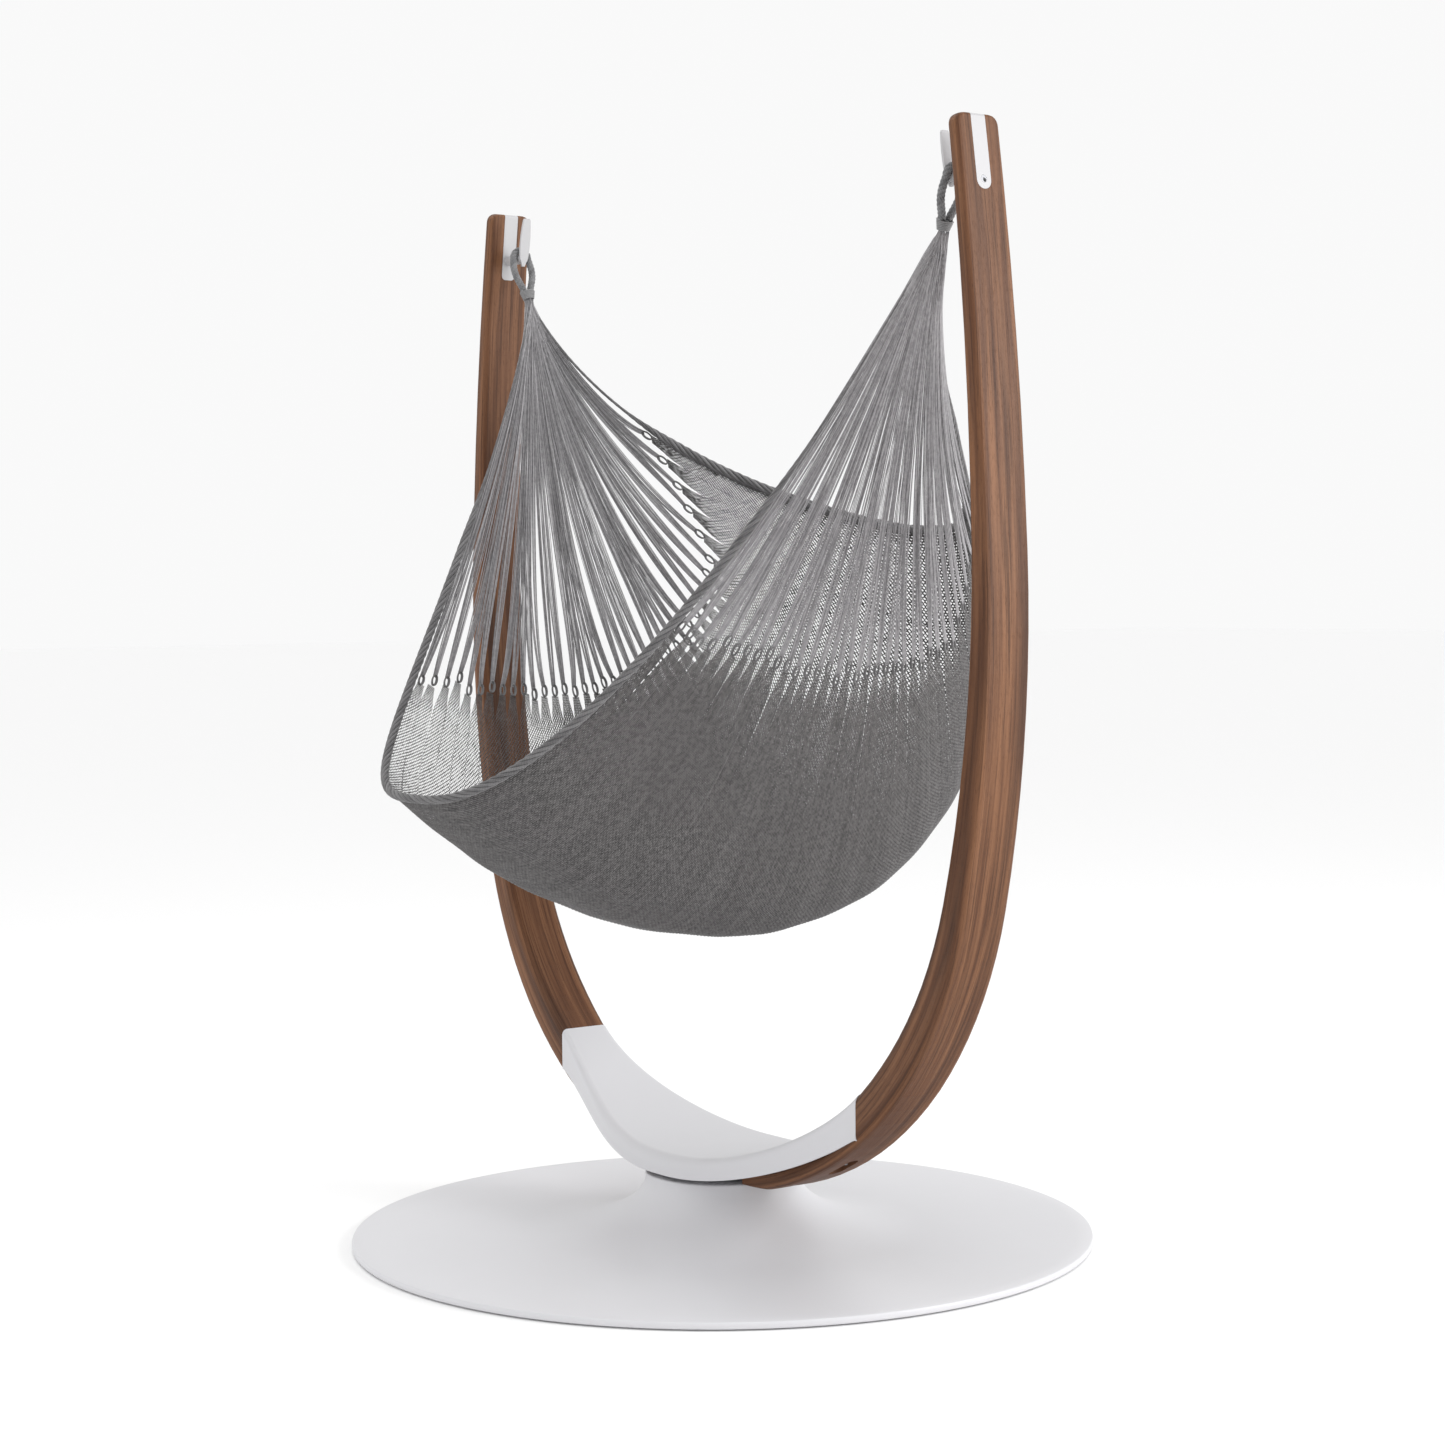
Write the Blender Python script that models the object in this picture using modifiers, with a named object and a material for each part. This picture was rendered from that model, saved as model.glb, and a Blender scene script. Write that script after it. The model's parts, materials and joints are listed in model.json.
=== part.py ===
"""Hammock chair on a swivelling U-shaped stand.

A round spun-steel base carries a thrust bearing. On it turns a saddle that clamps two bent,
tapering timber arms. A steel bracket over each arm tip ends in an upright hook, and a net
hammock hangs from the two hooks by its rope eyes.

Frame: metres, +Z up, origin on the floor at the middle of the base. The arms stand at -X and
+X, and the open front of the hammock faces -Y.
"""
import math

import bmesh
import bpy
from mathutils import Matrix, Vector

# ---------------------------------------------------------------- driving dimensions
TOUCH_GAP = 0.0003            # air between two faces that meet

# base
BASE_RADIUS = 0.700
BASE_WALL = 0.0030
RIM_HEIGHT = 0.0125           # underside of the rim to its top
RIM_ROUND = 0.003
DISC_RISE = 0.0045            # how much the flat of the disc rises towards the flare
NECK_RADIUS = 0.146
NECK_TOP = 0.127
FLARE_WIDTH = 0.200           # from the neck out to the flat of the disc
FLARE_POWER = 2.5
PAD_COUNT = 6
PAD_RADIUS = 0.030
PAD_HEIGHT = 0.0027
PAD_CIRCLE = 0.640
BALLAST_RADIUS = 0.480
BALLAST_BORE = 0.030
BALLAST_THICKNESS = 0.0080
POST_RADIUS = 0.050
POST_WALL = 0.008
POST_SCREW_COUNT = 4
POST_SCREW_CIRCLE = 0.075
POST_SCREW_HEAD = 0.009
POST_SCREW_THICKNESS = 0.004

# swivel
BEARING_INNER = 0.060
BEARING_OUTER = 0.110
RACE_THICKNESS = 0.003
CAGE_THICKNESS = 0.004
SWIVEL_RADIUS = 0.132
SWIVEL_THICKNESS = 0.008
HUB_RADIUS = 0.044
KING_RADIUS = 0.010
KING_CLEARANCE = 0.0035       # running clearance of the king bolt in the base
KING_WASHER_RADIUS = 0.028
KING_WASHER_THICKNESS = 0.004
KING_HEAD_RADIUS = 0.018
KING_HEAD_HEIGHT = 0.014
THREAD_CLEARANCE = 0.0003

# timber arms: a chain of tangent arcs, rising from the middle of the stand
ARM_START_X = 0.0243          # the lowest point of each arm's centre line
ARM_START_Z = 0.1407
ARM_ARCS = ((0.730, 75.6), (2.148, 16.1), (6.120, 6.8))   # radius, degrees
ARM_ROOT_X = 0.052            # inner end of each arm
ARM_DEPTH_ROOT = 0.070        # thickness in the plane of the U
ARM_DEPTH_TIP = 0.026
ARM_TAPER_START = 0.26        # share of the length that keeps the root's depth
ARM_TAPER_POWER = 1.35
ARM_WIDTH_ROOT = 0.1116
ARM_WIDTH_TIP = 0.0961
ARM_EDGE_ROOT = 0.016
ARM_EDGE_TIP = 0.010
ARM_TIP_CORNER = 0.018        # rounding of the tip's wide corners
ARM_TIP_EDGE = 0.005          # rounding of the tip's narrow edges
SEAT_CLEARANCE = 0.0015       # timber above the neck

# saddle
SADDLE_HALF_LENGTH = 0.475
SADDLE_HALF_WIDTH = 0.148
SADDLE_SKIN = 0.005
SADDLE_PLAN_POWER = 1.75
SADDLE_SECTIONS = 13          # between the middle and either end
SADDLE_CORNER_END = 0.012
SADDLE_CORNER_MIDDLE = 0.026
SKIRT_RISE_END = 0.008        # skirt edge above the timber's underside
SKIRT_RISE_MIDDLE = 0.031
SADDLE_BOLT_SHARES = (0.45, 0.78)   # places along the half length
BOLT_RADIUS = 0.005
BOLT_HOLE_CLEARANCE = 0.0006
BOLT_HEAD_RADIUS = 0.009
BOLT_HEAD_HEIGHT = 0.010
BOLT_WASHER_RADIUS = 0.0120
BOLT_WASHER_THICKNESS = 0.002
BOLT_SEAT_DEPTH = 0.020       # bolt seat above the timber's underside
POCKET_RADIUS = 0.0135
POCKET_HALF_LENGTH = 0.022    # from the middle of the slot to the middle of its round end
NUT_RADIUS = 0.010
NUT_HEIGHT = 0.008
NUT_POCKET_RADIUS = 0.0115
NUT_DEPTH = 0.016             # top of the nut below the saddle's top face

# hook brackets
STRAP_WIDTH = 0.031
STRAP_THICKNESS = 0.003
STRAP_OUTER_LENGTH = 0.128
STRAP_INNER_LENGTH = 0.134
STRAP_OUTER_CORNER = 0.0150
STRAP_INNER_CORNER = 0.009
STRAP_SCREW_INSET = 0.017     # screw above the strap's round end
SCREW_HEAD_RADIUS = 0.0062
SCREW_HEAD_HEIGHT = 0.0026
SCREW_RADIUS = 0.0030
SCREW_LENGTH = 0.014
INSERT_RADIUS = 0.0055
INSERT_LENGTH = 0.009
HOOK_DROP = 0.0956            # hook axis below the arm tip
HOOK_ROD_RADIUS = 0.0100
HOOK_GAP = 0.0545             # between the bracket's inner plate and the tongue
TONGUE_THICKNESS = 0.005
TONGUE_HEIGHT = 0.080         # above the hook axis
TONGUE_DEPTH = 0.016          # below the hook axis
TONGUE_LEAN = 0.0148          # how far its top stands away from the arm
TONGUE_SHAPE = (              # share of the depth (-) or height (+), half width
    (-1.0, 0.0030), (-0.6, 0.0052), (-0.25, 0.0074), (0.0, 0.0095), (0.25, 0.0110),
    (0.55, 0.0110), (0.80, 0.0095), (0.95, 0.0080), (1.0, 0.0062))

# rope eyes
ROPE_RADIUS = 0.0073
ROPE_CLEARANCE = 0.0015       # between a rope eye and the tongue
GATHER_DROP = 0.087           # foot of the whipping below the hook axis
GATHER_INSET = 0.0309         # foot of the whipping inside the rope's seat, along X
WHIPPING_LENGTH = 0.035
WHIPPING_RADIUS_TOP = 0.0155
WHIPPING_RADIUS_FOOT = 0.0110

# hammock: every string hangs between the two whippings in its own leaning plane
FRONT_DROP = 1.166
BELLY_DROP = 0.255            # how much deeper the strings behind the front edge begin to hang
BACK_DROP = 0.720
FRONT_LEAN = 34.4             # degrees in front of plumb, at the middle
BACK_LEAN = -47.8
FRONT_LEAN_END = 23.0         # the same at the whippings
BACK_LEAN_END = -17.2
FRONT_SWAY = (2.654, 1.359)   # exponents of the string's curve at the front edge
BACK_SWAY = (1.30, 0.90)
NET_HALF_LENGTH = 0.352       # knots that end the net
SHEET_THICKNESS = 0.0055      # net and string fans, at the front edge
BACK_THICKNESS_SHARE = 0.53   # the sheets are thinner towards the back edge
STRINGS_END = 0.970           # share of the half span where the string fans start
EDGE_CORD_RADIUS = 0.006
EDGE_MARGIN = 0.012           # from an edge cord's middle to the net
BACK_SOFTNESS = 0.16          # rounds the bend at the middle of the back edge

# ---------------------------------------------------------------- derived places
RIM_BOTTOM = PAD_HEIGHT + TOUCH_GAP
RIM_TOP = RIM_BOTTOM + RIM_HEIGHT
FLARE_FOOT = RIM_TOP + DISC_RISE
BALLAST_BOTTOM = PAD_HEIGHT + TOUCH_GAP
BALLAST_TOP = BALLAST_BOTTOM + BALLAST_THICKNESS
FLANGE_BOTTOM = NECK_TOP - BASE_WALL - 0.0015
RACE_Z = NECK_TOP + TOUCH_GAP
CAGE_Z = RACE_Z + RACE_THICKNESS + TOUCH_GAP
UPPER_RACE_Z = CAGE_Z + CAGE_THICKNESS + TOUCH_GAP
SWIVEL_Z = UPPER_RACE_Z + RACE_THICKNESS + TOUCH_GAP
SWIVEL_TOP = SWIVEL_Z + SWIVEL_THICKNESS
ARM_CENTRE_Z = ARM_START_Z + ARM_ARCS[0][0]
ARM_LENGTH = sum(radius * math.radians(angle) for radius, angle in ARM_ARCS)


def arm_station(distance):
    """Centre-line point and heading of the +X arm, `distance` along its chain of arcs."""
    x, z, heading = ARM_START_X, ARM_START_Z, 0.0
    for radius, degrees in ARM_ARCS:
        turn = min(distance / radius, math.radians(degrees))
        x += radius * (math.sin(heading + turn) - math.sin(heading))
        z += radius * (math.cos(heading) - math.cos(heading + turn))
        heading += turn
        distance -= turn * radius
        if distance <= 1e-9:
            break
    return x, z, heading


def arm_depth(distance):
    """Thickness of the arm in the plane of the U."""
    left = (1.0 - distance / ARM_LENGTH) / (1.0 - ARM_TAPER_START)
    return ARM_DEPTH_TIP + (ARM_DEPTH_ROOT - ARM_DEPTH_TIP) * min(1.0, left) ** ARM_TAPER_POWER


def arm_width(distance):
    """Width of the arm along Y."""
    return ARM_WIDTH_ROOT + (ARM_WIDTH_TIP - ARM_WIDTH_ROOT) * distance / ARM_LENGTH


def face_height(x, depth_sign):
    """Height of the arm's upper (-1) or under (+1) face over x, in its first arc."""
    radius = ARM_ARCS[0][0] + depth_sign * ARM_DEPTH_ROOT / 2
    return ARM_CENTRE_Z - math.sqrt(radius ** 2 - max(0.0, abs(x) - ARM_START_X) ** 2)


SADDLE_BOLT_X = [share * SADDLE_HALF_LENGTH for share in SADDLE_BOLT_SHARES]
SADDLE_END_ARC = math.asin((SADDLE_HALF_LENGTH - ARM_START_X) / ARM_ARCS[0][0]) * ARM_ARCS[0][0]
SADDLE_END_HALF_WIDTH = arm_width(SADDLE_END_ARC) / 2

TIP_X, TIP_Z, TIP_HEADING = arm_station(ARM_LENGTH)
TIP_UP = Vector((math.cos(TIP_HEADING), 0.0, math.sin(TIP_HEADING)))
TIP_OUT = Vector((math.sin(TIP_HEADING), 0.0, -math.cos(TIP_HEADING)))
TIP = Vector((TIP_X, 0.0, TIP_Z))
HOOK_Z = TIP_Z - HOOK_DROP


def bracket_plate_x(z):
    """Inner surface of the +X bracket's plate, at height z."""
    distance = ARM_LENGTH - (TIP_Z - z) / math.sin(TIP_HEADING)
    x, _, heading = arm_station(distance)
    return x - arm_depth(distance) / 2 * math.sin(heading)


PLATE_X = bracket_plate_x(HOOK_Z)
SEAT_X = PLATE_X - HOOK_GAP + ROPE_RADIUS + ROPE_CLEARANCE
GATHER_X = SEAT_X - GATHER_INSET
GATHER_Z = HOOK_Z - GATHER_DROP


# ---------------------------------------------------------------- scene and materials
def clear_scene():
    """Empty the file of objects, meshes, curves, materials and collections."""
    for item in list(bpy.data.objects):
        bpy.data.objects.remove(item, do_unlink=True)
    for group in list(bpy.data.collections):
        bpy.data.collections.remove(group)


def new_collection(name):
    """A collection linked to the scene."""
    group = bpy.data.collections.new(name)
    bpy.context.scene.collection.children.link(group)
    return group


clear_scene()
PARTS = new_collection("hammock_on_stand")
CUTTERS = new_collection("cutters")

FINISHES = {
    "white_coat": ((0.78, 0.78, 0.80), 0.38, 0.0),
    "zinc": ((0.55, 0.56, 0.58), 0.35, 1.0),
    "bright_steel": ((0.70, 0.70, 0.72), 0.22, 1.0),
    "raw_steel": ((0.20, 0.20, 0.21), 0.55, 1.0),
    "bearing_polymer": ((0.09, 0.09, 0.10), 0.45, 0.0),
    "rubber": ((0.03, 0.03, 0.03), 0.85, 0.0),
    "brass": ((0.66, 0.50, 0.24), 0.35, 1.0),
    "timber": ((0.21, 0.09, 0.045), 0.50, 0.0),
    "rope": ((0.16, 0.16, 0.17), 0.85, 0.0),
    "net": ((0.24, 0.24, 0.25), 0.90, 0.0),
}


def dress(item, finish):
    """Give an object its own Principled material."""
    colour, roughness, metallic = FINISHES[finish]
    material = bpy.data.materials.new(f"{item.name}_{finish}")
    material.use_nodes = True
    shader = material.node_tree.nodes["Principled BSDF"]
    shader.inputs["Base Color"].default_value = (*colour, 1.0)
    shader.inputs["Roughness"].default_value = roughness
    shader.inputs["Metallic"].default_value = metallic
    item.data.materials.append(material)


def add_mesh(name, mesh, group=None):
    """Link a mesh as a new object."""
    item = bpy.data.objects.new(name, mesh)
    (group or PARTS).objects.link(item)
    if group is CUTTERS:
        item.hide_render = True
        item.display_type = "WIRE"
    return item


def mesh_from(name, work):
    """Finish a bmesh: outward faces, then smooth shading with sharp edges kept."""
    bmesh.ops.recalc_face_normals(work, faces=work.faces)
    mesh = bpy.data.meshes.new(name)
    work.to_mesh(mesh)
    work.free()
    mesh.shade_smooth()
    mesh.set_sharp_from_angle(angle=math.radians(35))
    return mesh


# ---------------------------------------------------------------- shape helpers
def turned(name, profile, finish, steps=48, group=None):
    """A turned body: a closed (radius, z) profile, outer side top to bottom, and a Screw."""
    mesh = bpy.data.meshes.new(name)
    edges = [(i, (i + 1) % len(profile)) for i in range(len(profile))]
    mesh.from_pydata([(r, 0.0, z) for r, z in profile], edges, [])
    item = add_mesh(name, mesh, group)
    screw = item.modifiers.new("turn", "SCREW")
    screw.steps = steps
    screw.render_steps = steps
    screw.use_merge_vertices = True
    screw.merge_threshold = 0.00001
    screw.use_smooth_shade = True
    if finish:
        dress(item, finish)
    return item


def ring_profile(inner, outer, bottom, top):
    """Profile of a flat ring."""
    return [(outer, top), (outer, bottom), (inner, bottom), (inner, top)]


def cylinder(name, radius, start, end, finish, sides=24, radius_end=None, group=None):
    """A round bar or cone from one point to another."""
    start, end = Vector(start), Vector(end)
    along = end - start
    work = bmesh.new()
    bmesh.ops.create_cone(
        work, cap_ends=True, segments=sides, radius1=radius,
        radius2=radius if radius_end is None else radius_end, depth=along.length)
    turn = along.to_track_quat("Z", "Y").to_matrix().to_4x4()
    bmesh.ops.transform(work, matrix=Matrix.Translation((start + end) / 2) @ turn,
                        verts=work.verts)
    item = add_mesh(name, mesh_from(name, work), group)
    if finish:
        dress(item, finish)
    return item


def box_cutter(name, low, high):
    """A box, used only to cut."""
    low, high = Vector(low), Vector(high)
    work = bmesh.new()
    bmesh.ops.create_cube(work, size=1.0)
    bmesh.ops.scale(work, vec=high - low, verts=work.verts)
    bmesh.ops.translate(work, vec=(low + high) / 2, verts=work.verts)
    return add_mesh(name, mesh_from(name, work), CUTTERS)


def prism(outline, axis, low, high):
    """A bmesh prism: an outline in XZ pushed along Y, or in XY pushed along Z."""
    work = bmesh.new()
    if axis == "Y":
        corners = [work.verts.new((a, low, b)) for a, b in outline]
        push = (0.0, high - low, 0.0)
    else:
        corners = [work.verts.new((a, b, low)) for a, b in outline]
        push = (0.0, 0.0, high - low)
    face = work.faces.new(corners)
    grown = bmesh.ops.extrude_face_region(work, geom=[face])
    moved = [item for item in grown["geom"] if isinstance(item, bmesh.types.BMVert)]
    bmesh.ops.translate(work, vec=push, verts=moved)
    return work


def loft(name, rings, group=None):
    """A closed body through rings of equally many points."""
    work = bmesh.new()
    rows = [[work.verts.new(point) for point in ring] for ring in rings]
    count = len(rows[0])
    for low, high in zip(rows, rows[1:]):
        for i in range(count):
            j = (i + 1) % count
            work.faces.new((low[i], low[j], high[j], high[i]))
    work.faces.new(rows[0])
    work.faces.new(rows[-1])
    return add_mesh(name, mesh_from(name, work), group)


def cut(item, cutter, operation="DIFFERENCE"):
    """Add an exact Boolean to an object."""
    modifier = item.modifiers.new(cutter.name, "BOOLEAN")
    modifier.operation = operation
    modifier.solver = "EXACT"
    modifier.object = cutter


def rounded_section(half_width, half_depth, radius, steps=4):
    """Points (width, depth) round a rectangle with round corners."""
    radius = min(radius, half_width, half_depth) * 0.999
    points = []
    for quarter, (a, b) in enumerate(((1, 1), (-1, 1), (-1, -1), (1, -1))):
        for step in range(steps + 1):
            turn = math.pi / 2 * (quarter + step / steps)
            points.append((a * (half_width - radius) + radius * math.cos(turn),
                           b * (half_depth - radius) + radius * math.sin(turn)))
    return points


def mirrored(points, side):
    """The same points for the arm at -X (-1) or +X (+1)."""
    return [Vector((side * p[0], p[1], p[2])) for p in points]


# ---------------------------------------------------------------- base
def shell_profile():
    """Closed profile of the spun base: disc, flare, neck and flange, all one wall."""
    bore = KING_RADIUS + KING_CLEARANCE
    outer = [(bore, NECK_TOP), (NECK_RADIUS - RIM_ROUND, NECK_TOP)]
    steps = 14
    drop = NECK_TOP - RIM_ROUND - FLARE_FOOT
    for i in range(steps + 1):
        turn = math.pi / 2 * i / steps
        outer.append((
            NECK_RADIUS + FLARE_WIDTH * (1.0 - math.cos(turn) ** (2 / FLARE_POWER)),
            NECK_TOP - RIM_ROUND - drop * math.sin(turn) ** (2 / FLARE_POWER)))
    outer.append((BASE_RADIUS - RIM_ROUND, RIM_TOP))
    outer.append((BASE_RADIUS, RIM_TOP - RIM_ROUND))
    outer.append((BASE_RADIUS, RIM_BOTTOM + RIM_ROUND))
    outer.append((BASE_RADIUS - RIM_ROUND, RIM_BOTTOM))
    inner = [(BASE_RADIUS - 2 * RIM_ROUND, RIM_BOTTOM),
             (BASE_RADIUS - 2 * RIM_ROUND, RIM_TOP - BASE_WALL)]
    for i in range(steps, -1, -1):
        turn = math.pi / 2 * i / steps
        inner.append((
            NECK_RADIUS - BASE_WALL + FLARE_WIDTH * (1.0 - math.cos(turn) ** (2 / FLARE_POWER)),
            NECK_TOP - RIM_ROUND - (drop + BASE_WALL) * math.sin(turn) ** (2 / FLARE_POWER)))
    inner[-1] = (NECK_RADIUS - BASE_WALL, FLANGE_BOTTOM)
    inner.append((bore, FLANGE_BOTTOM))
    return outer + inner


def build_base():
    """Spun shell, ballast, post, post screws and pads."""
    turned("base_shell", shell_profile(), "white_coat", steps=72)
    turned("ballast_plate",
           ring_profile(BALLAST_BORE, BALLAST_RADIUS, BALLAST_BOTTOM, BALLAST_TOP),
           "raw_steel", steps=64)
    turned("pedestal_post",
           ring_profile(POST_RADIUS - POST_WALL, POST_RADIUS,
                        BALLAST_TOP + TOUCH_GAP, FLANGE_BOTTOM - TOUCH_GAP),
           "raw_steel", steps=32)
    screw_z = BALLAST_TOP + TOUCH_GAP
    for number in range(POST_SCREW_COUNT):
        turn = math.tau * (number + 0.5) / POST_SCREW_COUNT
        spot = Vector((math.cos(turn), math.sin(turn), 0.0)) * POST_SCREW_CIRCLE
        cylinder(f"ballast_clamp_screw_{number + 1}", POST_SCREW_HEAD,
                 spot + Vector((0, 0, screw_z)),
                 spot + Vector((0, 0, screw_z + POST_SCREW_THICKNESS)), "zinc", sides=12)
    for number in range(PAD_COUNT):
        turn = math.tau * number / PAD_COUNT
        spot = Vector((math.cos(turn), math.sin(turn), 0.0)) * PAD_CIRCLE
        cylinder(f"foot_pad_{number + 1}", PAD_RADIUS, spot,
                 spot + Vector((0, 0, PAD_HEIGHT)), "rubber", sides=20)


# ---------------------------------------------------------------- swivel
def build_swivel():
    """Thrust bearing, swivel plate, hub and the king bolt that holds them down."""
    turned("bearing_lower_race",
           ring_profile(BEARING_INNER, BEARING_OUTER, RACE_Z, RACE_Z + RACE_THICKNESS),
           "bright_steel", steps=40)
    turned("bearing_ball_cage",
           ring_profile(BEARING_INNER + 0.002, BEARING_OUTER - 0.002,
                        CAGE_Z, CAGE_Z + CAGE_THICKNESS),
           "bearing_polymer", steps=40)
    turned("bearing_upper_race",
           ring_profile(BEARING_INNER, BEARING_OUTER, UPPER_RACE_Z,
                        UPPER_RACE_Z + RACE_THICKNESS),
           "bright_steel", steps=40)
    turned("swivel_plate",
           ring_profile(KING_RADIUS + THREAD_CLEARANCE, SWIVEL_RADIUS, SWIVEL_Z, SWIVEL_TOP),
           "white_coat", steps=48)
    hub_bottom = SWIVEL_TOP + TOUCH_GAP
    hub_top = face_height(0.0, -1) - SADDLE_SKIN - TOUCH_GAP
    bore = KING_RADIUS + THREAD_CLEARANCE
    turned("saddle_hub",
           ring_profile(bore, HUB_RADIUS, hub_bottom, hub_top), "raw_steel", steps=32)
    washer_top = FLANGE_BOTTOM - TOUCH_GAP
    washer_bottom = washer_top - KING_WASHER_THICKNESS
    turned("king_washer",
           ring_profile(KING_RADIUS + THREAD_CLEARANCE, KING_WASHER_RADIUS,
                        washer_bottom, washer_top), "zinc", steps=24)
    head_top = washer_bottom - TOUCH_GAP
    shank_top = hub_top - 0.004
    king = turned("king_bolt", [
        (0.0, shank_top), (KING_RADIUS - 0.001, shank_top), (KING_RADIUS, shank_top - 0.001),
        (KING_RADIUS, head_top), (KING_HEAD_RADIUS, head_top),
        (KING_HEAD_RADIUS, head_top - KING_HEAD_HEIGHT), (0.0, head_top - KING_HEAD_HEIGHT)],
        "zinc", steps=24)
    return king


# ---------------------------------------------------------------- saddle
def saddle_half_width(x):
    """Half width of the saddle in plan."""
    swell = max(0.0, 1.0 - (x / SADDLE_HALF_LENGTH) ** 2) ** SADDLE_PLAN_POWER
    return SADDLE_END_HALF_WIDTH + (SADDLE_HALF_WIDTH - SADDLE_END_HALF_WIDTH) * swell


def skirt_height(x):
    """Height of the skirt's lower edge."""
    swell = math.sqrt(max(0.0, 1.0 - (x / SADDLE_HALF_LENGTH) ** 2))
    rise = SKIRT_RISE_END + (SKIRT_RISE_MIDDLE - SKIRT_RISE_END) * swell
    return face_height(x, 1) + rise


def saddle_stations():
    """Distances from the middle at which the saddle's sections are taken."""
    return [SADDLE_HALF_LENGTH * math.sin(math.pi / 2 * i / SADDLE_SECTIONS)
            for i in range(SADDLE_SECTIONS + 1)]


def saddle_section(x):
    """Ring of an inverted channel at x: outer wall over the top, then the inner wall back."""
    swell = 1.0 - abs(x) / SADDLE_HALF_LENGTH
    corner = SADDLE_CORNER_END + (SADDLE_CORNER_MIDDLE - SADDLE_CORNER_END) * swell
    top = face_height(x, -1)
    half = saddle_half_width(x)
    foot = skirt_height(x)
    spare = half - SADDLE_END_HALF_WIDTH + TOUCH_GAP
    ring = []
    for offset, order in ((0.0, 1), (SADDLE_SKIN, -1)):
        wall = [(-(half - offset), foot)]
        round_ = corner if offset == 0.0 else min(corner - offset, spare)
        for step in range(5):
            turn = math.pi / 2 * step / 4
            wall.append((-(half - offset) + round_ * (1 - math.cos(turn)),
                         top - offset - round_ * (1 - math.sin(turn))))
        side = wall + [(-y, z) for y, z in reversed(wall)]
        ring += side[::order]
    return [Vector((x, y, z)) for y, z in ring]


def build_saddle():
    """The saddle and the bolts, washers and nuts that clamp the arms in it."""
    stations = saddle_stations()
    rings = [saddle_section(x) for x in [-x for x in stations[:0:-1]] + stations]
    dress(loft("saddle", rings), "white_coat")
    for side, word in ((-1, "left"), (1, "right")):
        for number, x in enumerate(SADDLE_BOLT_X, start=1):
            seat = face_height(x, 1) + BOLT_SEAT_DEPTH
            nut_top = face_height(x, -1) - NUT_DEPTH
            build_saddle_bolt(f"{word}_{number}", side * x, seat, nut_top)


def build_saddle_bolt(label, x, seat, nut_top):
    """One upright bolt with its washer under the timber and its nut above it."""
    washer_top = seat - TOUCH_GAP
    washer_bottom = washer_top - BOLT_WASHER_THICKNESS
    head_top = washer_bottom - TOUCH_GAP
    bore = BOLT_RADIUS + THREAD_CLEARANCE
    bolt = turned(f"saddle_bolt_{label}", [
        (0.0, nut_top), (BOLT_RADIUS, nut_top), (BOLT_RADIUS, head_top),
        (BOLT_HEAD_RADIUS, head_top), (BOLT_HEAD_RADIUS, head_top - BOLT_HEAD_HEIGHT),
        (0.0, head_top - BOLT_HEAD_HEIGHT)], "bright_steel", steps=16)
    washer = turned(f"saddle_washer_{label}",
                    ring_profile(bore, BOLT_WASHER_RADIUS, washer_bottom, washer_top),
                    "zinc", steps=16)
    nut = turned(f"saddle_nut_{label}",
                 ring_profile(bore, NUT_RADIUS, nut_top - NUT_HEIGHT, nut_top), "zinc", steps=12)
    for item in (bolt, washer, nut):
        item.location.x = x


# ---------------------------------------------------------------- arms
def arm_rings(side):
    """Sections of one arm from its root to its rounded tip."""
    root = math.asin((ARM_ROOT_X - ARM_START_X) / ARM_ARCS[0][0]) * ARM_ARCS[0][0]
    stops, reach = [root], 0.0
    for (radius, degrees), pieces in zip(ARM_ARCS, (24, 9, 6)):
        length = radius * math.radians(degrees)
        stops += [reach + length * (i + 1) / pieces for i in range(pieces)]
        reach += length
    stops = [s for s in stops if s == root or root < s < ARM_LENGTH - ARM_TIP_CORNER * 1.05]
    stops += [ARM_LENGTH - ARM_TIP_CORNER * (1 - math.sin(math.pi / 2 * i / 6)) for i in range(7)]
    rings = []
    for distance in stops:
        x, z, heading = arm_station(distance)
        left = ARM_LENGTH - distance
        inset_w = corner_inset(left, ARM_TIP_CORNER)
        inset_d = corner_inset(left, ARM_TIP_EDGE)
        share = distance / ARM_LENGTH
        edge = ARM_EDGE_ROOT + (ARM_EDGE_TIP - ARM_EDGE_ROOT) * share
        section = rounded_section(arm_width(distance) / 2 - inset_w,
                                  arm_depth(distance) / 2 - inset_d, edge)
        out = Vector((math.sin(heading), 0.0, -math.cos(heading)))
        centre = Vector((x, 0.0, z))
        rings.append(mirrored([centre + out * d + Vector((0, w, 0)) for w, d in section], side))
    return rings


def corner_inset(left, radius):
    """How far a rounded end has drawn in, `left` before its tip."""
    if left >= radius:
        return 0.0
    return radius - math.sqrt(max(0.0, radius ** 2 - (radius - left) ** 2))


def curve_over_x(height, end):
    """Points (x, height(x)) from the middle out to just past the saddle's end."""
    return [(x, height(x)) for x in saddle_stations() + [end]]


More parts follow.
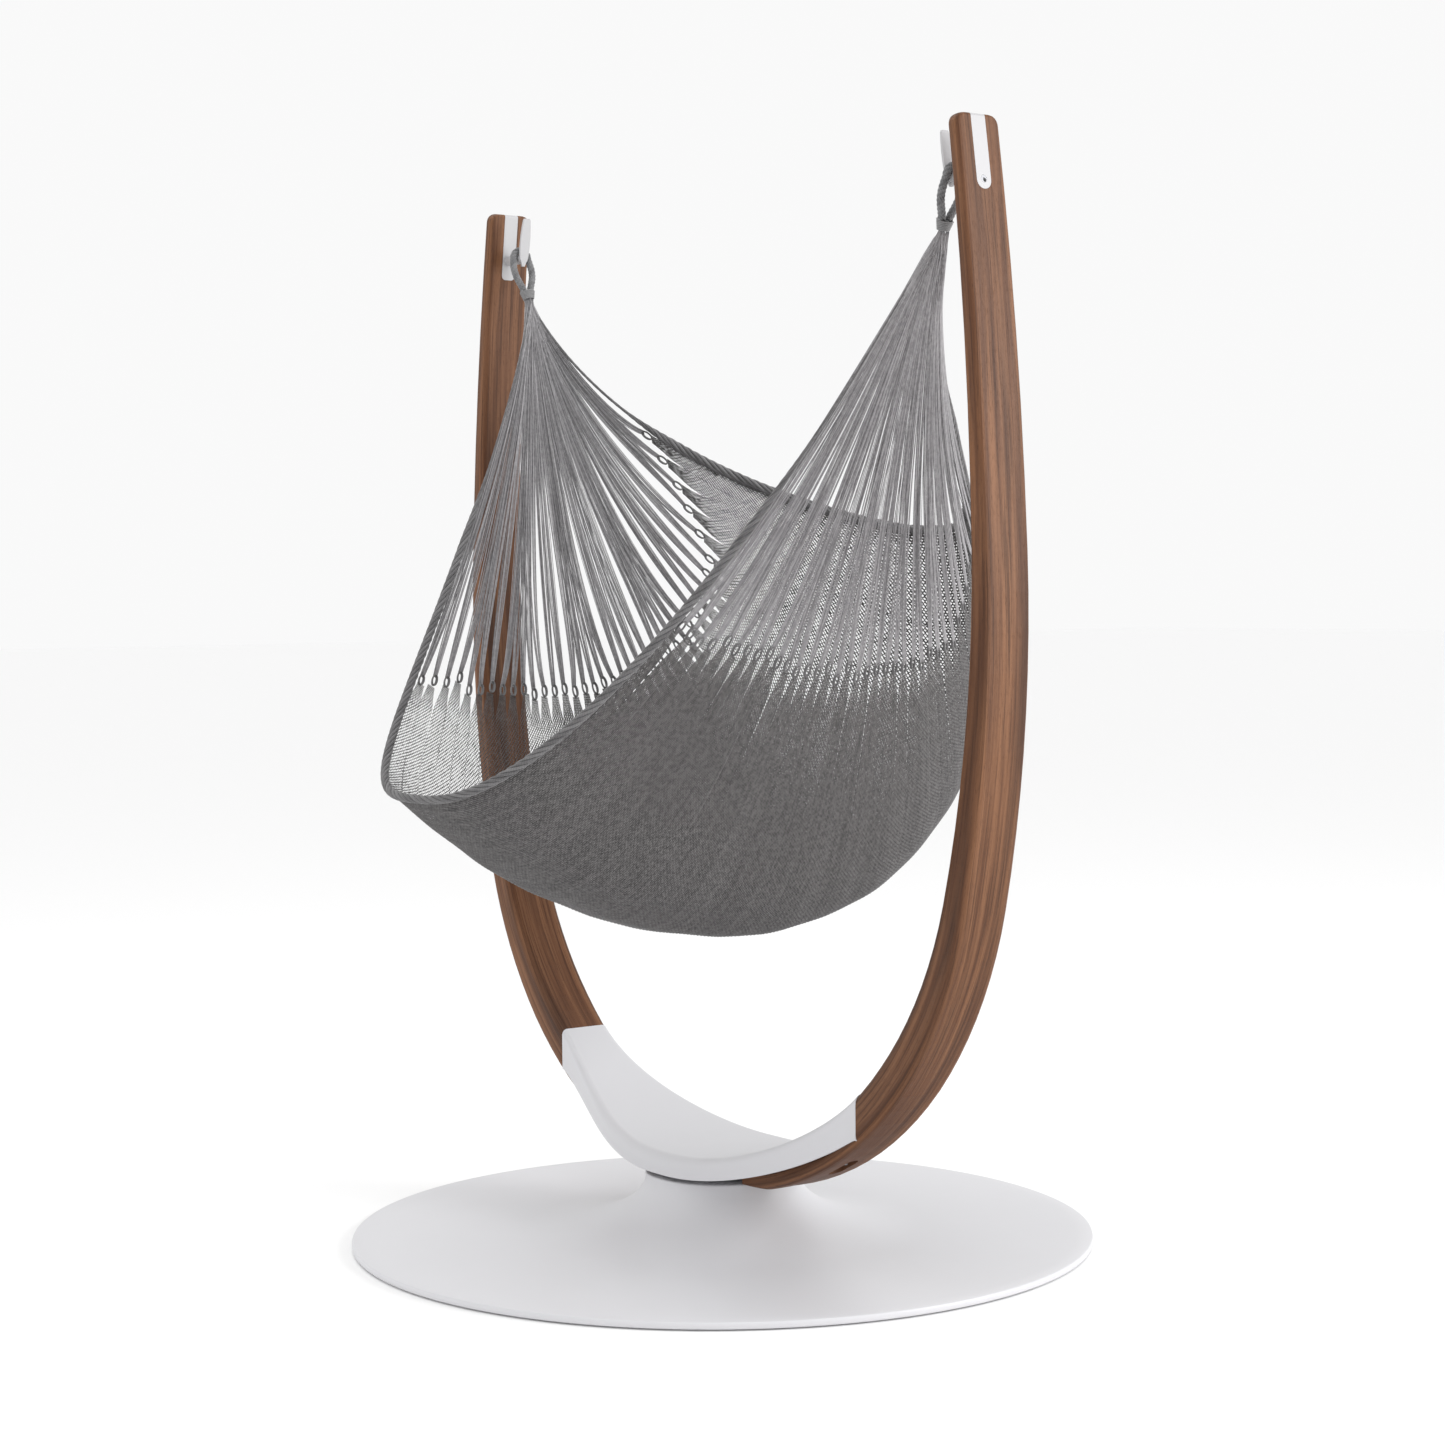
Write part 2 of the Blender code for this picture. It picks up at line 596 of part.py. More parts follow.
def rebate_cutters(side, word):
    """Cutters that sink the saddle's skin into the timber."""
    end = SADDLE_HALF_LENGTH + TOUCH_GAP
    roof = face_height(end, -1) + 0.2
    top_line = curve_over_x(lambda x: face_height(x, -1) - SADDLE_SKIN - TOUCH_GAP, end)
    side_line = curve_over_x(lambda x: skirt_height(x) - TOUCH_GAP, end)
    wide = ARM_WIDTH_ROOT
    core = SADDLE_END_HALF_WIDTH - SADDLE_SKIN - TOUCH_GAP
    plans = (("top", top_line, -wide, wide), ("front", side_line, -wide, -core),
             ("back", side_line, core, wide))
    cutters = []
    for label, line, low, high in plans:
        outline = [(side * x, z) for x, z in line + [(end, roof), (0.0, roof)]]
        name = f"rebate_{label}_{word}"
        cutters.append(add_mesh(name, mesh_from(name, prism(outline, "Y", low, high)), CUTTERS))
    return cutters


def slot_outline(middle, half_length, radius):
    """Outline of a slot along X."""
    points = []
    for end in (1, -1):
        for step in range(9):
            turn = math.pi * (step / 8 - 0.5) + (0.0 if end == 1 else math.pi)
            points.append((middle + end * half_length + radius * math.cos(turn),
                           radius * math.sin(turn)))
    return points


def bolt_cutters(side, word):
    """Bolt holes, pockets for the heads and pockets for the nuts."""
    cutters = []
    for number, x in enumerate(SADDLE_BOLT_X, start=1):
        seat = face_height(x, 1) + BOLT_SEAT_DEPTH
        nut_floor = face_height(x, -1) - NUT_DEPTH - NUT_HEIGHT - TOUCH_GAP
        name = f"head_pocket_{word}_{number}"
        outline = slot_outline(side * x, POCKET_HALF_LENGTH, POCKET_RADIUS)
        work = prism(outline, "Z", 0.0, seat)
        cutters.append(add_mesh(name, mesh_from(name, work), CUTTERS))
        cutters.append(cylinder(f"bolt_hole_{word}_{number}", BOLT_RADIUS + BOLT_HOLE_CLEARANCE,
                                (side * x, 0, seat - 0.01), (side * x, 0, nut_floor + 0.002),
                                None, sides=16, group=CUTTERS))
        cutters.append(cylinder(f"nut_pocket_{word}_{number}", NUT_POCKET_RADIUS,
                                (side * x, 0, nut_floor), (side * x, 0, nut_floor + 0.1),
                                None, sides=16, group=CUTTERS))
    return cutters


def seat_cutters(side, word):
    """Flats under the timber over the neck and on the swivel plate."""
    neck = NECK_TOP + SEAT_CLEARANCE
    plate = SWIVEL_TOP + TOUCH_GAP
    reach = SWIVEL_RADIUS + 0.008
    spans = (("neck", 0.32, neck), ("plate", reach, plate))
    return [box_cutter(f"{label}_flat_{word}",
                       (min(0.0, side * span), -0.1, 0.0), (max(0.0, side * span), 0.1, top))
            for label, span, top in spans]


def arm_face_point(distance, offset):
    """Point of the arm's inner (offset < 0) or outer face line, `distance` along the arm."""
    x, z, heading = arm_station(distance)
    reach = math.copysign(arm_depth(distance) / 2, offset) + offset
    return Vector((x + reach * math.sin(heading), 0.0, z - reach * math.cos(heading)))


def strap_outline(sink, proud, extra):
    """XZ outline of the strap over the +X tip, `sink` deep and `proud` of the timber."""
    outer_end = ARM_LENGTH - STRAP_OUTER_LENGTH - extra
    inner_end = ARM_LENGTH - STRAP_INNER_LENGTH - extra
    near_tip = ARM_LENGTH - ARM_TIP_EDGE

    def leg(offset, end, sign):
        points = []
        for i in range(5):
            distance = end + (near_tip - end) * i / 4
            points.append(arm_face_point(distance, sign * 1e-9) + normal_at(distance, sign) * offset)
        return points

    def path(offset):
        half = ARM_DEPTH_TIP / 2 + offset
        over = TIP + TIP_UP * offset
        bend = max(0.001, ARM_TIP_EDGE + offset)
        corners = []
        for sign in (1, -1):
            middle = over + TIP_OUT * sign * (half - bend) - TIP_UP * bend
            arc = [middle + (TIP_OUT * sign * math.cos(math.pi / 2 * k / 4)
                             + TIP_UP * math.sin(math.pi / 2 * k / 4)) * bend
                   for k in range(5)]
            corners += arc if sign == 1 else arc[::-1]
        return leg(offset, outer_end, 1) + corners + leg(offset, inner_end, -1)[::-1]

    loop = path(proud) + path(-sink)[::-1]
    return [(p.x, p.z) for p in loop]


def normal_at(distance, sign):
    """Unit normal of the arm's outer (+1) or inner (-1) face in the plane of the U."""
    _, _, heading = arm_station(distance)
    return Vector((math.sin(heading), 0.0, -math.cos(heading))) * sign


def strap_body(name, side, sink, proud, grow, group=None):
    """The strap as a prism with its two ends rounded in its own plane."""
    half = STRAP_WIDTH / 2 + grow
    outline = [(side * x, z) for x, z in strap_outline(sink, proud, grow)]
    work = prism(outline, "Y", -half, half)
    work.normal_update()
    ends = {
        "outer": (arm_face_point(ARM_LENGTH - STRAP_OUTER_LENGTH - grow, 1e-9), STRAP_OUTER_CORNER),
        "inner": (arm_face_point(ARM_LENGTH - STRAP_INNER_LENGTH - grow, -1e-9), STRAP_INNER_CORNER),
    }
    for point, corner in ends.values():
        edges = [edge for edge in work.edges if is_end_edge(edge, point, side, half)]
        bmesh.ops.bevel(work, geom=edges, offset=corner + grow, segments=6, profile=0.5,
                        affect="EDGES", clamp_overlap=False)
    return add_mesh(name, mesh_from(name, work), group)


def is_end_edge(edge, point, side, half):
    """Whether an edge is a short side of the strap's end at `point`."""
    low, high = edge.verts[0].co, edge.verts[1].co
    if abs(low.y - high.y) > 1e-6 or abs(abs(low.y) - half) > 1e-6:
        return False
    target = Vector((side * point.x, low.y, point.z))
    middle = (low + high) / 2
    along = Vector((side * TIP_UP.x, 0, TIP_UP.z))
    return abs((middle - target).dot(along)) < 0.002 and (low - high).length < 0.05


def build_arm(side, word):
    """One timber arm with its rebate, bolt pockets, seats and the strap's recess."""
    arm = loft(f"arm_{word}", arm_rings(side))
    dress(arm, "timber")
    cutters = rebate_cutters(side, word) + bolt_cutters(side, word) + seat_cutters(side, word)
    cutters.append(strap_body(f"strap_recess_{word}", side, STRAP_THICKNESS + TOUCH_GAP, 0.02,
                              TOUCH_GAP, CUTTERS))
    screw_axis = screw_line(side)
    cutters.append(cylinder(f"insert_hole_{word}", INSERT_RADIUS + TOUCH_GAP,
                            screw_axis(0.001), screw_axis(-STRAP_THICKNESS - INSERT_LENGTH - 0.001),
                            None, sides=16, group=CUTTERS))
    for cutter in cutters:
        cut(arm, cutter)
    return arm


# ---------------------------------------------------------------- hook brackets
def screw_line(side):
    """Function from a depth to a point on the strap screw's axis (0 at the strap's face)."""
    distance = ARM_LENGTH - STRAP_OUTER_LENGTH + STRAP_SCREW_INSET
    face = arm_face_point(distance, 1e-9)
    normal = normal_at(distance, 1)

    def point(depth):
        spot = face + normal * depth
        return Vector((side * spot.x, 0.0, spot.z))

    return point


def tongue_rings(side):
    """Sections of the upright tongue, from its tip below the rod to its top."""
    rings = []
    for share, half in TONGUE_SHAPE:
        reach = TONGUE_DEPTH if share < 0 else TONGUE_HEIGHT
        rings.append(tongue_ring(side, HOOK_Z + share * reach, half))
    return rings


def tongue_ring(side, z, half):
    """One level section of the tongue."""
    front = PLATE_X - HOOK_GAP - TONGUE_LEAN * (z - HOOK_Z) / TONGUE_HEIGHT
    corners = ((front, -half), (front, half), (front - TONGUE_THICKNESS, half),
               (front - TONGUE_THICKNESS, -half))
    return [Vector((side * x, y, z)) for x, y in corners]


def build_bracket(side, word):
    """Strap, hook rod and tongue welded into one bracket, with its screw and insert."""
    bracket = strap_body(f"hook_bracket_{word}", side, STRAP_THICKNESS, 0.0, 0.0)
    dress(bracket, "white_coat")
    rod = cylinder(f"hook_rod_{word}", HOOK_ROD_RADIUS,
                   (side * (PLATE_X + STRAP_THICKNESS / 2), 0, HOOK_Z),
                   (side * (PLATE_X - HOOK_GAP - TONGUE_THICKNESS / 2), 0, HOOK_Z),
                   None, sides=20, group=CUTTERS)
    tongue = loft(f"hook_tongue_{word}", tongue_rings(side), CUTTERS)
    cut(bracket, rod, "UNION")
    cut(bracket, tongue, "UNION")
    axis = screw_line(side)
    head_well = cylinder(f"screw_well_{word}", SCREW_HEAD_RADIUS + TOUCH_GAP,
                         axis(0.001), axis(-SCREW_HEAD_HEIGHT - TOUCH_GAP), None,
                         sides=20, group=CUTTERS)
    shank_hole = cylinder(f"screw_hole_{word}", SCREW_RADIUS + TOUCH_GAP, axis(0.001),
                          axis(-STRAP_THICKNESS - 0.001), None, sides=16, group=CUTTERS)
    cut(bracket, head_well)
    cut(bracket, shank_hole)
    screw = cylinder(f"bracket_screw_{word}", SCREW_HEAD_RADIUS, axis(-0.0002),
                     axis(-SCREW_HEAD_HEIGHT), "bright_steel", sides=20)
    shank = cylinder(f"screw_shank_{word}", SCREW_RADIUS, axis(-SCREW_HEAD_HEIGHT / 2),
                     axis(-SCREW_LENGTH + 0.002), None, sides=16, group=CUTTERS)
    socket = cylinder(f"screw_socket_{word}", 0.0022, axis(0.001), axis(-0.0016), None, sides=6,
                      group=CUTTERS)
    cut(screw, shank, "UNION")
    cut(screw, socket)
    insert = cylinder(f"arm_insert_{word}", INSERT_RADIUS, axis(-STRAP_THICKNESS - 2 * TOUCH_GAP),
                      axis(-STRAP_THICKNESS - INSERT_LENGTH), "brass", sides=16)
    bore = cylinder(f"insert_bore_{word}", SCREW_RADIUS + THREAD_CLEARANCE, axis(0.0),
                    axis(-STRAP_THICKNESS - INSERT_LENGTH - 0.002), None, sides=16, group=CUTTERS)
    cut(insert, bore)


# ---------------------------------------------------------------- rope eyes
def tube(name, points, radius, finish, resolution=2):
    """A round cord through points, as a curve with a bevel and filled caps."""
    curve = bpy.data.curves.new(name, "CURVE")
    curve.dimensions = "3D"
    curve.bevel_depth = radius
    curve.bevel_resolution = resolution
    curve.use_fill_caps = True
    spline = curve.splines.new("POLY")
    spline.points.add(len(points) - 1)
    for slot, point in zip(spline.points, points):
        slot.co = (*point, 1.0)
    item = bpy.data.objects.new(name, curve)
    PARTS.objects.link(item)
    dress(item, finish)
    return item


def eye_points(side):
    """Route of a rope eye: up one leg, over the hook rod and down the other leg."""
    bend = HOOK_ROD_RADIUS + TOUCH_GAP + ROPE_RADIUS
    top_of_whipping = GATHER_DROP - WHIPPING_LENGTH
    leg_y = ROPE_RADIUS + TOUCH_GAP
    arc = [(bend * math.cos(a), bend * math.sin(a))
           for a in (math.pi * (1 - i / 12) for i in range(13))]
    drops = [i / 6 for i in range(1, 7)]
    fall = [(leg_y + (bend - leg_y) * (0.5 + 0.5 * math.cos(math.pi * t)),
             -(top_of_whipping - TOUCH_GAP) * t) for t in drops]
    path = [(-y, z) for y, z in reversed(fall)] + arc + fall
    slope = GATHER_INSET / GATHER_DROP
    return [Vector((side * (SEAT_X + slope * min(0.0, z)), y, HOOK_Z + z)) for y, z in path]


def build_eye(side, word):
    """Rope eye and the whipping that gathers the strings below it."""
    tube(f"rope_eye_{word}", eye_points(side), ROPE_RADIUS, "rope", resolution=3)
    slope = GATHER_INSET / GATHER_DROP
    drop = GATHER_DROP - WHIPPING_LENGTH
    top = (side * (SEAT_X - slope * drop), 0.0, HOOK_Z - drop)
    foot = (side * GATHER_X, 0.0, GATHER_Z)
    rise = Vector(top) - Vector(foot)
    cylinder(f"whipping_{word}", WHIPPING_RADIUS_FOOT, Vector(foot) + rise * 0.01,
             Vector(foot) + rise * 0.97, "rope", sides=20, radius_end=WHIPPING_RADIUS_TOP)


# ---------------------------------------------------------------- hammock
def blend(low, high, share):
    """Straight mix of two values."""
    return low + (high - low) * share


def string_point(across, along):
    """Point of the hammock's surface.

    `across` runs from the front edge (0) to the back edge (1), `along` from the whipping at -X
    (-1) to the one at +X (+1). A string hangs by drop * (1 - span^p)^q in a plane through the
    line between the whippings, where span is |along| with its kink at the middle rounded off.
    That plane leans by an angle that eases off at both ends.
    """
    drop = FRONT_DROP + BELLY_DROP * across - (BELLY_DROP + FRONT_DROP - BACK_DROP) * across ** 4
    power = blend(FRONT_SWAY[0], BACK_SWAY[0], across)
    root = blend(FRONT_SWAY[1], BACK_SWAY[1], across)
    soft = BACK_SOFTNESS * across
    span = (math.hypot(along, soft) - soft) / (math.hypot(1.0, soft) - soft)
    fall = drop * max(0.0, 1.0 - span ** power) ** root
    middle = blend(FRONT_LEAN, BACK_LEAN, across)
    end = blend(FRONT_LEAN_END, BACK_LEAN_END, across)
    lean = math.radians(blend(middle, end, along ** 2))
    return Vector((GATHER_X * along, -fall * math.sin(lean), GATHER_Z - fall * math.cos(lean)))


def inner_range(along, steps=60):
    """The `across` values that lie a margin inside the two edge cords."""
    line = [string_point(i / steps, along) for i in range(steps + 1)]
    spans = [(b - a).length for a, b in zip(line, line[1:])]
    margin = min(EDGE_MARGIN, 0.4 * sum(spans))
    limits = []
    for order in (spans, spans[::-1]):
        walked, index = 0.0, 0
        while walked + order[index] < margin:
            walked += order[index]
            index += 1
        limits.append((index + (margin - walked) / order[index]) / steps)
    return limits[0], 1.0 - limits[1]


def net_panel(name, start, end, rows, columns, finish):
    """A closed thin body over part of the hammock's surface: an open grid and a Solidify."""
    work = bmesh.new()
    grid = []
    for i in range(columns + 1):
        along = blend(start, end, i / columns)
        low, high = inner_range(along)
        grid.append([work.verts.new(string_point(blend(low, high, j / rows), along))
                     for j in range(rows + 1)])
    for i in range(columns):
        for j in range(rows):
            work.faces.new((grid[i][j], grid[i + 1][j], grid[i + 1][j + 1], grid[i][j + 1]))
    item = add_mesh(name, mesh_from(name, work))
    taper = item.vertex_groups.new(name="taper")
    for index in range(len(item.data.vertices)):
        share = (index % (rows + 1)) / rows
        taper.add([index], blend(1.0, BACK_THICKNESS_SHARE, share), "REPLACE")
    wall = item.modifiers.new("thickness", "SOLIDIFY")
    wall.thickness = SHEET_THICKNESS
    wall.offset = 0.0
    wall.vertex_group = taper.name
    wall.thickness_vertex_group = 0.0
    dress(item, finish)
    return item


def edge_points(across, count=44):
    """Route of an edge cord from one string fan to the other."""
    reach = STRINGS_END
    return [string_point(across, reach * math.sin(math.pi * (i / count - 0.5)))
            for i in range(count + 1)]


def build_hammock():
    """Net, string fans and edge cords."""
    net = NET_HALF_LENGTH / GATHER_X
    gap = 0.003 / GATHER_X
    net_panel("net_bed", -net, net, 18, 18, "net")
    net_panel("end_strings_left", -STRINGS_END, -net - gap, 12, 8, "net")
    net_panel("end_strings_right", net + gap, STRINGS_END, 12, 8, "net")
    tube("front_edge_cord", edge_points(0.0), EDGE_CORD_RADIUS, "net")
    tube("back_edge_cord", edge_points(1.0), EDGE_CORD_RADIUS, "net")


# ---------------------------------------------------------------- build
build_base()
build_swivel()
build_saddle()
for SIDE, WORD in ((-1, "left"), (1, "right")):
    build_arm(SIDE, WORD)
    build_bracket(SIDE, WORD)
    build_eye(SIDE, WORD)
build_hammock()
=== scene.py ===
"""Looks for a net hammock chair that hangs in a swivelling U-shaped stand.

Lengths are in metres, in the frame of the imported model: +Z up, the stand's arms at -X and +X, and
the open front of the hammock towards -Y.
"""

import json
import logging
import math
from dataclasses import dataclass, field
from enum import Enum
from typing import Optional, Sequence, Union

import bpy
import numpy as np
from mathutils import Matrix, Vector


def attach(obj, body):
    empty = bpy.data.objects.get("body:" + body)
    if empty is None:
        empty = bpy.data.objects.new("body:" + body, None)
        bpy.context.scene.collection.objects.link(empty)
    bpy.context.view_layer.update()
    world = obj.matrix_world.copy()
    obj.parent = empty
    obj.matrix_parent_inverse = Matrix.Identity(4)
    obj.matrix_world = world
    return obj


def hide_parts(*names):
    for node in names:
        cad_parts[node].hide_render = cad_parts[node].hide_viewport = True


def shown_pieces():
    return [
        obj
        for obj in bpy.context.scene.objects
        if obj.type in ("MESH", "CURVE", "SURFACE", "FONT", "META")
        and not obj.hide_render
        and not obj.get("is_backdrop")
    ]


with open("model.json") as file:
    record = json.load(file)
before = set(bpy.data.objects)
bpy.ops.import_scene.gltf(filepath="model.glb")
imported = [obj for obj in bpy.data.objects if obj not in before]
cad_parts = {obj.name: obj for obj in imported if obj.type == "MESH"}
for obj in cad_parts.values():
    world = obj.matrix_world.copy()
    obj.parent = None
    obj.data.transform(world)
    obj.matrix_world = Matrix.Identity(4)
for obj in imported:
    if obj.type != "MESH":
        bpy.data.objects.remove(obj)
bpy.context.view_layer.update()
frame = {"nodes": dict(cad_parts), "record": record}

LOG = logging.getLogger("scene")
Array = np.ndarray
Colour = tuple[float, float, float]
Number = Union[float, "Value"]


class Side(Enum):
    """One end of the hammock, and the arm that carries it."""

    LEFT = -1
    RIGHT = 1

    @property
    def word(self) -> str:
        """The side's name, as the CAD nodes spell it."""
        return self.name.lower()


class Body(str, Enum):
    """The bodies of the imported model."""

    BASE = "base"
    CRADLE = "cradle"
    HAMMOCK = "hammock"


# ------------------------------------------------------------------------------ shader maths
class Value:
    """A node socket that takes part in ordinary arithmetic.

    Args:
        tree: The node tree that the socket is in.
        socket: An output socket of that tree.
    """

    def __init__(self, tree: bpy.types.NodeTree, socket: bpy.types.NodeSocket) -> None:
        """Keep the tree and the socket."""
        self.tree = tree
        self.socket = socket

    def _math(self, operation: str, *operands: Number) -> "Value":
        """A Math node.

        Args:
            operation: The node's operation.
            *operands: What its inputs take, in order.

        Returns:
            The node's output.
        """
        node = self.tree.nodes.new("ShaderNodeMath")
        node.operation = operation
        for slot, operand in zip(node.inputs, operands):
            connect(self.tree, operand, slot)
        return Value(self.tree, node.outputs[0])

    def __add__(self, other: Number) -> "Value":
        """Sum."""
        return self._math("ADD", self, other)

    __radd__ = __add__

    def __mul__(self, other: Number) -> "Value":
        """Product."""
        return self._math("MULTIPLY", self, other)

    __rmul__ = __mul__

    def __sub__(self, other: Number) -> "Value":
        """Difference."""
        return self._math("SUBTRACT", self, other)

    def __rsub__(self, other: Number) -> "Value":
        """Difference, with the value taken from a number."""
        return self._math("SUBTRACT", other, self)

    def sin(self) -> "Value":
        """Sine of the value."""
        return self._math("SINE", self)

    def cos(self) -> "Value":
        """Cosine of the value."""
        return self._math("COSINE", self)

    def step(self, low: float, high: float) -> "Value":
        """A smooth step.

        Args:
            low: Where it leaves 0.
            high: Where it reaches 1.

        Returns:
            0 below `low`, 1 above `high`.
        """
        node = self.tree.nodes.new("ShaderNodeMapRange")
        node.interpolation_type = "SMOOTHSTEP"
        connect(self.tree, self, node.inputs["Value"])
        node.inputs["From Min"].default_value = low
        node.inputs["From Max"].default_value = high
        return Value(self.tree, node.outputs["Result"])


def connect(tree: bpy.types.NodeTree, source: object, slot: bpy.types.NodeSocket) -> None:
    """Feed a socket from a Value, or set it to a constant.

    Args:
        tree: The node tree.
        source: A Value, a number or a tuple.
        slot: The input socket.
    """
    if isinstance(source, Value):
        tree.links.new(source.socket, slot)
    else:
        slot.default_value = source


class Shader:
    """A material under construction.

    Args:
        name: The material's name.
        **constants: Principled sockets set to constants, with spaces written as underscores.
    """

    def __init__(self, name: str, **constants: float) -> None:
        """Make the material and set its constants."""
        self.material = bpy.data.materials.new(name)
        self.material.use_nodes = True
        self.tree = self.material.node_tree
        self.principled = self.tree.nodes["Principled BSDF"]
        for key, constant in constants.items():
            self.principled.inputs[key.replace("_", " ")].default_value = constant

    def node(self, kind: str, output: str, inputs: Optional[dict] = None, **settings) -> Value:
        """Any other node.

        Args:
            kind: The node's type name.
            output: The name of the output that is wanted.
            inputs: Input name to Value or constant.
            **settings: Properties of the node itself.

        Returns:
            The chosen output.
        """
        made = self.tree.nodes.new(kind)
        for key, setting in settings.items():
            setattr(made, key, setting)
        for key, source in (inputs or {}).items():
            connect(self.tree, source, made.inputs[key])
        return Value(self.tree, made.outputs[output])

    def set(self, socket: str, source: object) -> None:
        """Feed one of the Principled sockets."""
        connect(self.tree, source, self.principled.inputs[socket])

    def place(self) -> Value:
        """Object coordinates."""
        return self.node("ShaderNodeTexCoord", "Object")

    def attribute(self, name: str, output: str = "Vector") -> Value:
        """A mesh attribute of the piece."""
        return self.node("ShaderNodeAttribute", output, attribute_name=name)

    def axes(self, vector: Value) -> tuple[Value, Value, Value]:
        """Split a vector.

        Args:
            vector: The vector.

        Returns:
            Its x, y and z.
        """
        split = self.tree.nodes.new("ShaderNodeSeparateXYZ")
        connect(self.tree, vector, split.inputs[0])
        return tuple(Value(self.tree, out) for out in split.outputs)

    def vector(self, x: Number, y: Number, z: Number) -> Value:
        """A vector from three values."""
        return self.node("ShaderNodeCombineXYZ", "Vector", {"X": x, "Y": y, "Z": z})

    def noise(self, vector: Value, scale: float, detail: float = 3.0) -> Value:
        """Noise from 0 to 1, `scale` cells to the metre."""
        return self.node("ShaderNodeTexNoise", "Fac",
                         {"Vector": vector, "Scale": scale, "Detail": detail})

    def mix(self, share: Number, low: object, high: object) -> Value:
        """A mix of two colours.

        Args:
            share: The share of `high`, from 0 to 1.
            low: A colour or a Value.
            high: A colour or a Value.

        Returns:
            The mixed colour.
        """
        made = self.tree.nodes.new("ShaderNodeMix")
        made.data_type = "RGBA"
        connect(self.tree, share, made.inputs["Factor"])
        for source, slot in ((low, made.inputs[6]), (high, made.inputs[7])):
            connect(self.tree, source if isinstance(source, Value) else (*source, 1.0), slot)
        return Value(self.tree, made.outputs[2])

    def bump(self, height: Value, depth: float, strength: float = 1.0) -> None:
        """Feed the normal from a height from 0 to 1 that stands for `depth` metres."""
        self.set("Normal", self.node("ShaderNodeBump", "Normal", {
            "Height": height, "Distance": depth, "Strength": strength}))


# ------------------------------------------------------------------------------ finishes
@dataclass(frozen=True)
class PowderCoat:
    """Satin powder coat: an even colour over a fine orange-peel surface."""

    name: str = "powder_coat"
    colour: Colour = (0.690, 0.687, 0.709)
    roughness: float = 0.42

    def build(self) -> bpy.types.Material:
        """Make the material.

        Returns:
            A material whose colour drifts by 4 % and whose bump is noise about 1.2 mm across.
        """
        shader = Shader(self.name, Coat_Weight=0.08, Coat_Roughness=0.35)
        place = shader.place()
        drift = shader.noise(place, 2.2, 2.0)
        darker = tuple(part * 0.96 for part in self.colour)
        shader.set("Base Color", shader.mix(drift, darker, self.colour))
        peel = shader.noise(place, 820.0, 1.0)
        shader.set("Roughness", self.roughness + 0.10 * (shader.noise(place, 9.0) - 0.5))
        shader.bump(peel, 0.00004, 0.6)
        return shader.material


@dataclass(frozen=True)
class Metal:
    """Bare or plated metal with a turned or drawn surface."""

    name: str
    colour: Colour
    roughness: float

    def build(self) -> bpy.types.Material:
        """Make the material.

        Returns:
            A metal whose roughness and brightness follow fine streaks.
        """
        shader = Shader(self.name, Metallic=1.0)
        x, y, z = shader.axes(shader.place())
        streaks = shader.noise(shader.vector(x * 40.0, y * 40.0, z * 2500.0), 1.0, 4.0)
        dark = tuple(part * 0.78 for part in self.colour)
        shader.set("Base Color", shader.mix(streaks, dark, self.colour))
        shader.set("Roughness", self.roughness + 0.16 * (streaks - 0.5))
        shader.bump(streaks, 0.00001, 0.5)
        return shader.material


@dataclass(frozen=True)
class Moulded:
    """Moulded rubber or polymer."""

    name: str
    colour: Colour
    roughness: float

    def build(self) -> bpy.types.Material:
        """Make the material.

        Returns:
            A dull surface with a fine pebbled grain.
        """
        shader = Shader(self.name)
        pebbles = shader.noise(shader.place(), 1400.0, 2.0)
        paler = tuple(min(1.0, part * 1.35 + 0.004) for part in self.colour)
        shader.set("Base Color", shader.mix(pebbles, self.colour, paler))
        shader.set("Roughness", self.roughness + 0.1 * (pebbles - 0.5))
        shader.bump(pebbles, 0.00006, 0.5)
        return shader.material


@dataclass(frozen=True)
class Timber:
    """Oiled red-brown hardwood with its grain along the arm.

    It reads the point attribute `grain`: metres along the arm, across it and through it.
    """

    name: str = "oiled_hardwood"
    dark: Colour = (0.036, 0.0120, 0.0045)
    middle: Colour = (0.104, 0.0380, 0.0140)
    pale: Colour = (0.232, 0.1020, 0.0450)

    def build(self) -> bpy.types.Material:
        """Make the material.

        Growth bands are noise stretched forty to one along the arm, bent by a slower noise. Pores
        are short dark dashes: noise stretched twenty to one, kept where it is above 0.58.

        Returns:
            The timber's material.
        """
        shader = Shader(self.name, Coat_Roughness=0.42, Specular_IOR_Level=0.28)
        along, across, through = shader.axes(shader.attribute("grain"))
        sway = shader.noise(shader.vector(along * 1.3, across * 6.0, through * 6.0), 1.0, 2.0)
        bent = across + 0.022 * (sway - 0.5)
        bands = shader.noise(shader.vector(along * 2.2, bent * 95.0, through * 70.0), 1.0, 5.0)
        fine = shader.noise(shader.vector(along * 3.0, bent * 300.0, through * 260.0), 1.0, 4.0)
        pores = shader.noise(shader.vector(along * 75.0, across * 1500.0, through * 1500.0), 1.0)
        broad = shader.noise(shader.vector(along * 0.9, bent * 21.0, through * 18.0), 1.0, 2.0)
        tone = shader.mix(bands.step(0.30, 0.72), self.middle, self.pale)
        tone = shader.mix(broad.step(0.46, 0.72) * 0.80, tone, self.dark)
        tone = shader.mix(fine.step(0.50, 0.66) * 0.55, tone, self.dark)
        tone = shader.mix(pores.step(0.58, 0.68) * 0.55, tone, self.dark)
        shader.set("Base Color", tone)
        shader.set("Roughness", 0.56 + 0.18 * (fine - 0.5))
        shader.set("Coat Weight", 0.07 - 0.05 * pores.step(0.55, 0.68))
        shader.bump(fine * 0.4 - pores.step(0.58, 0.68), 0.00018, 0.6)
        return shader.material


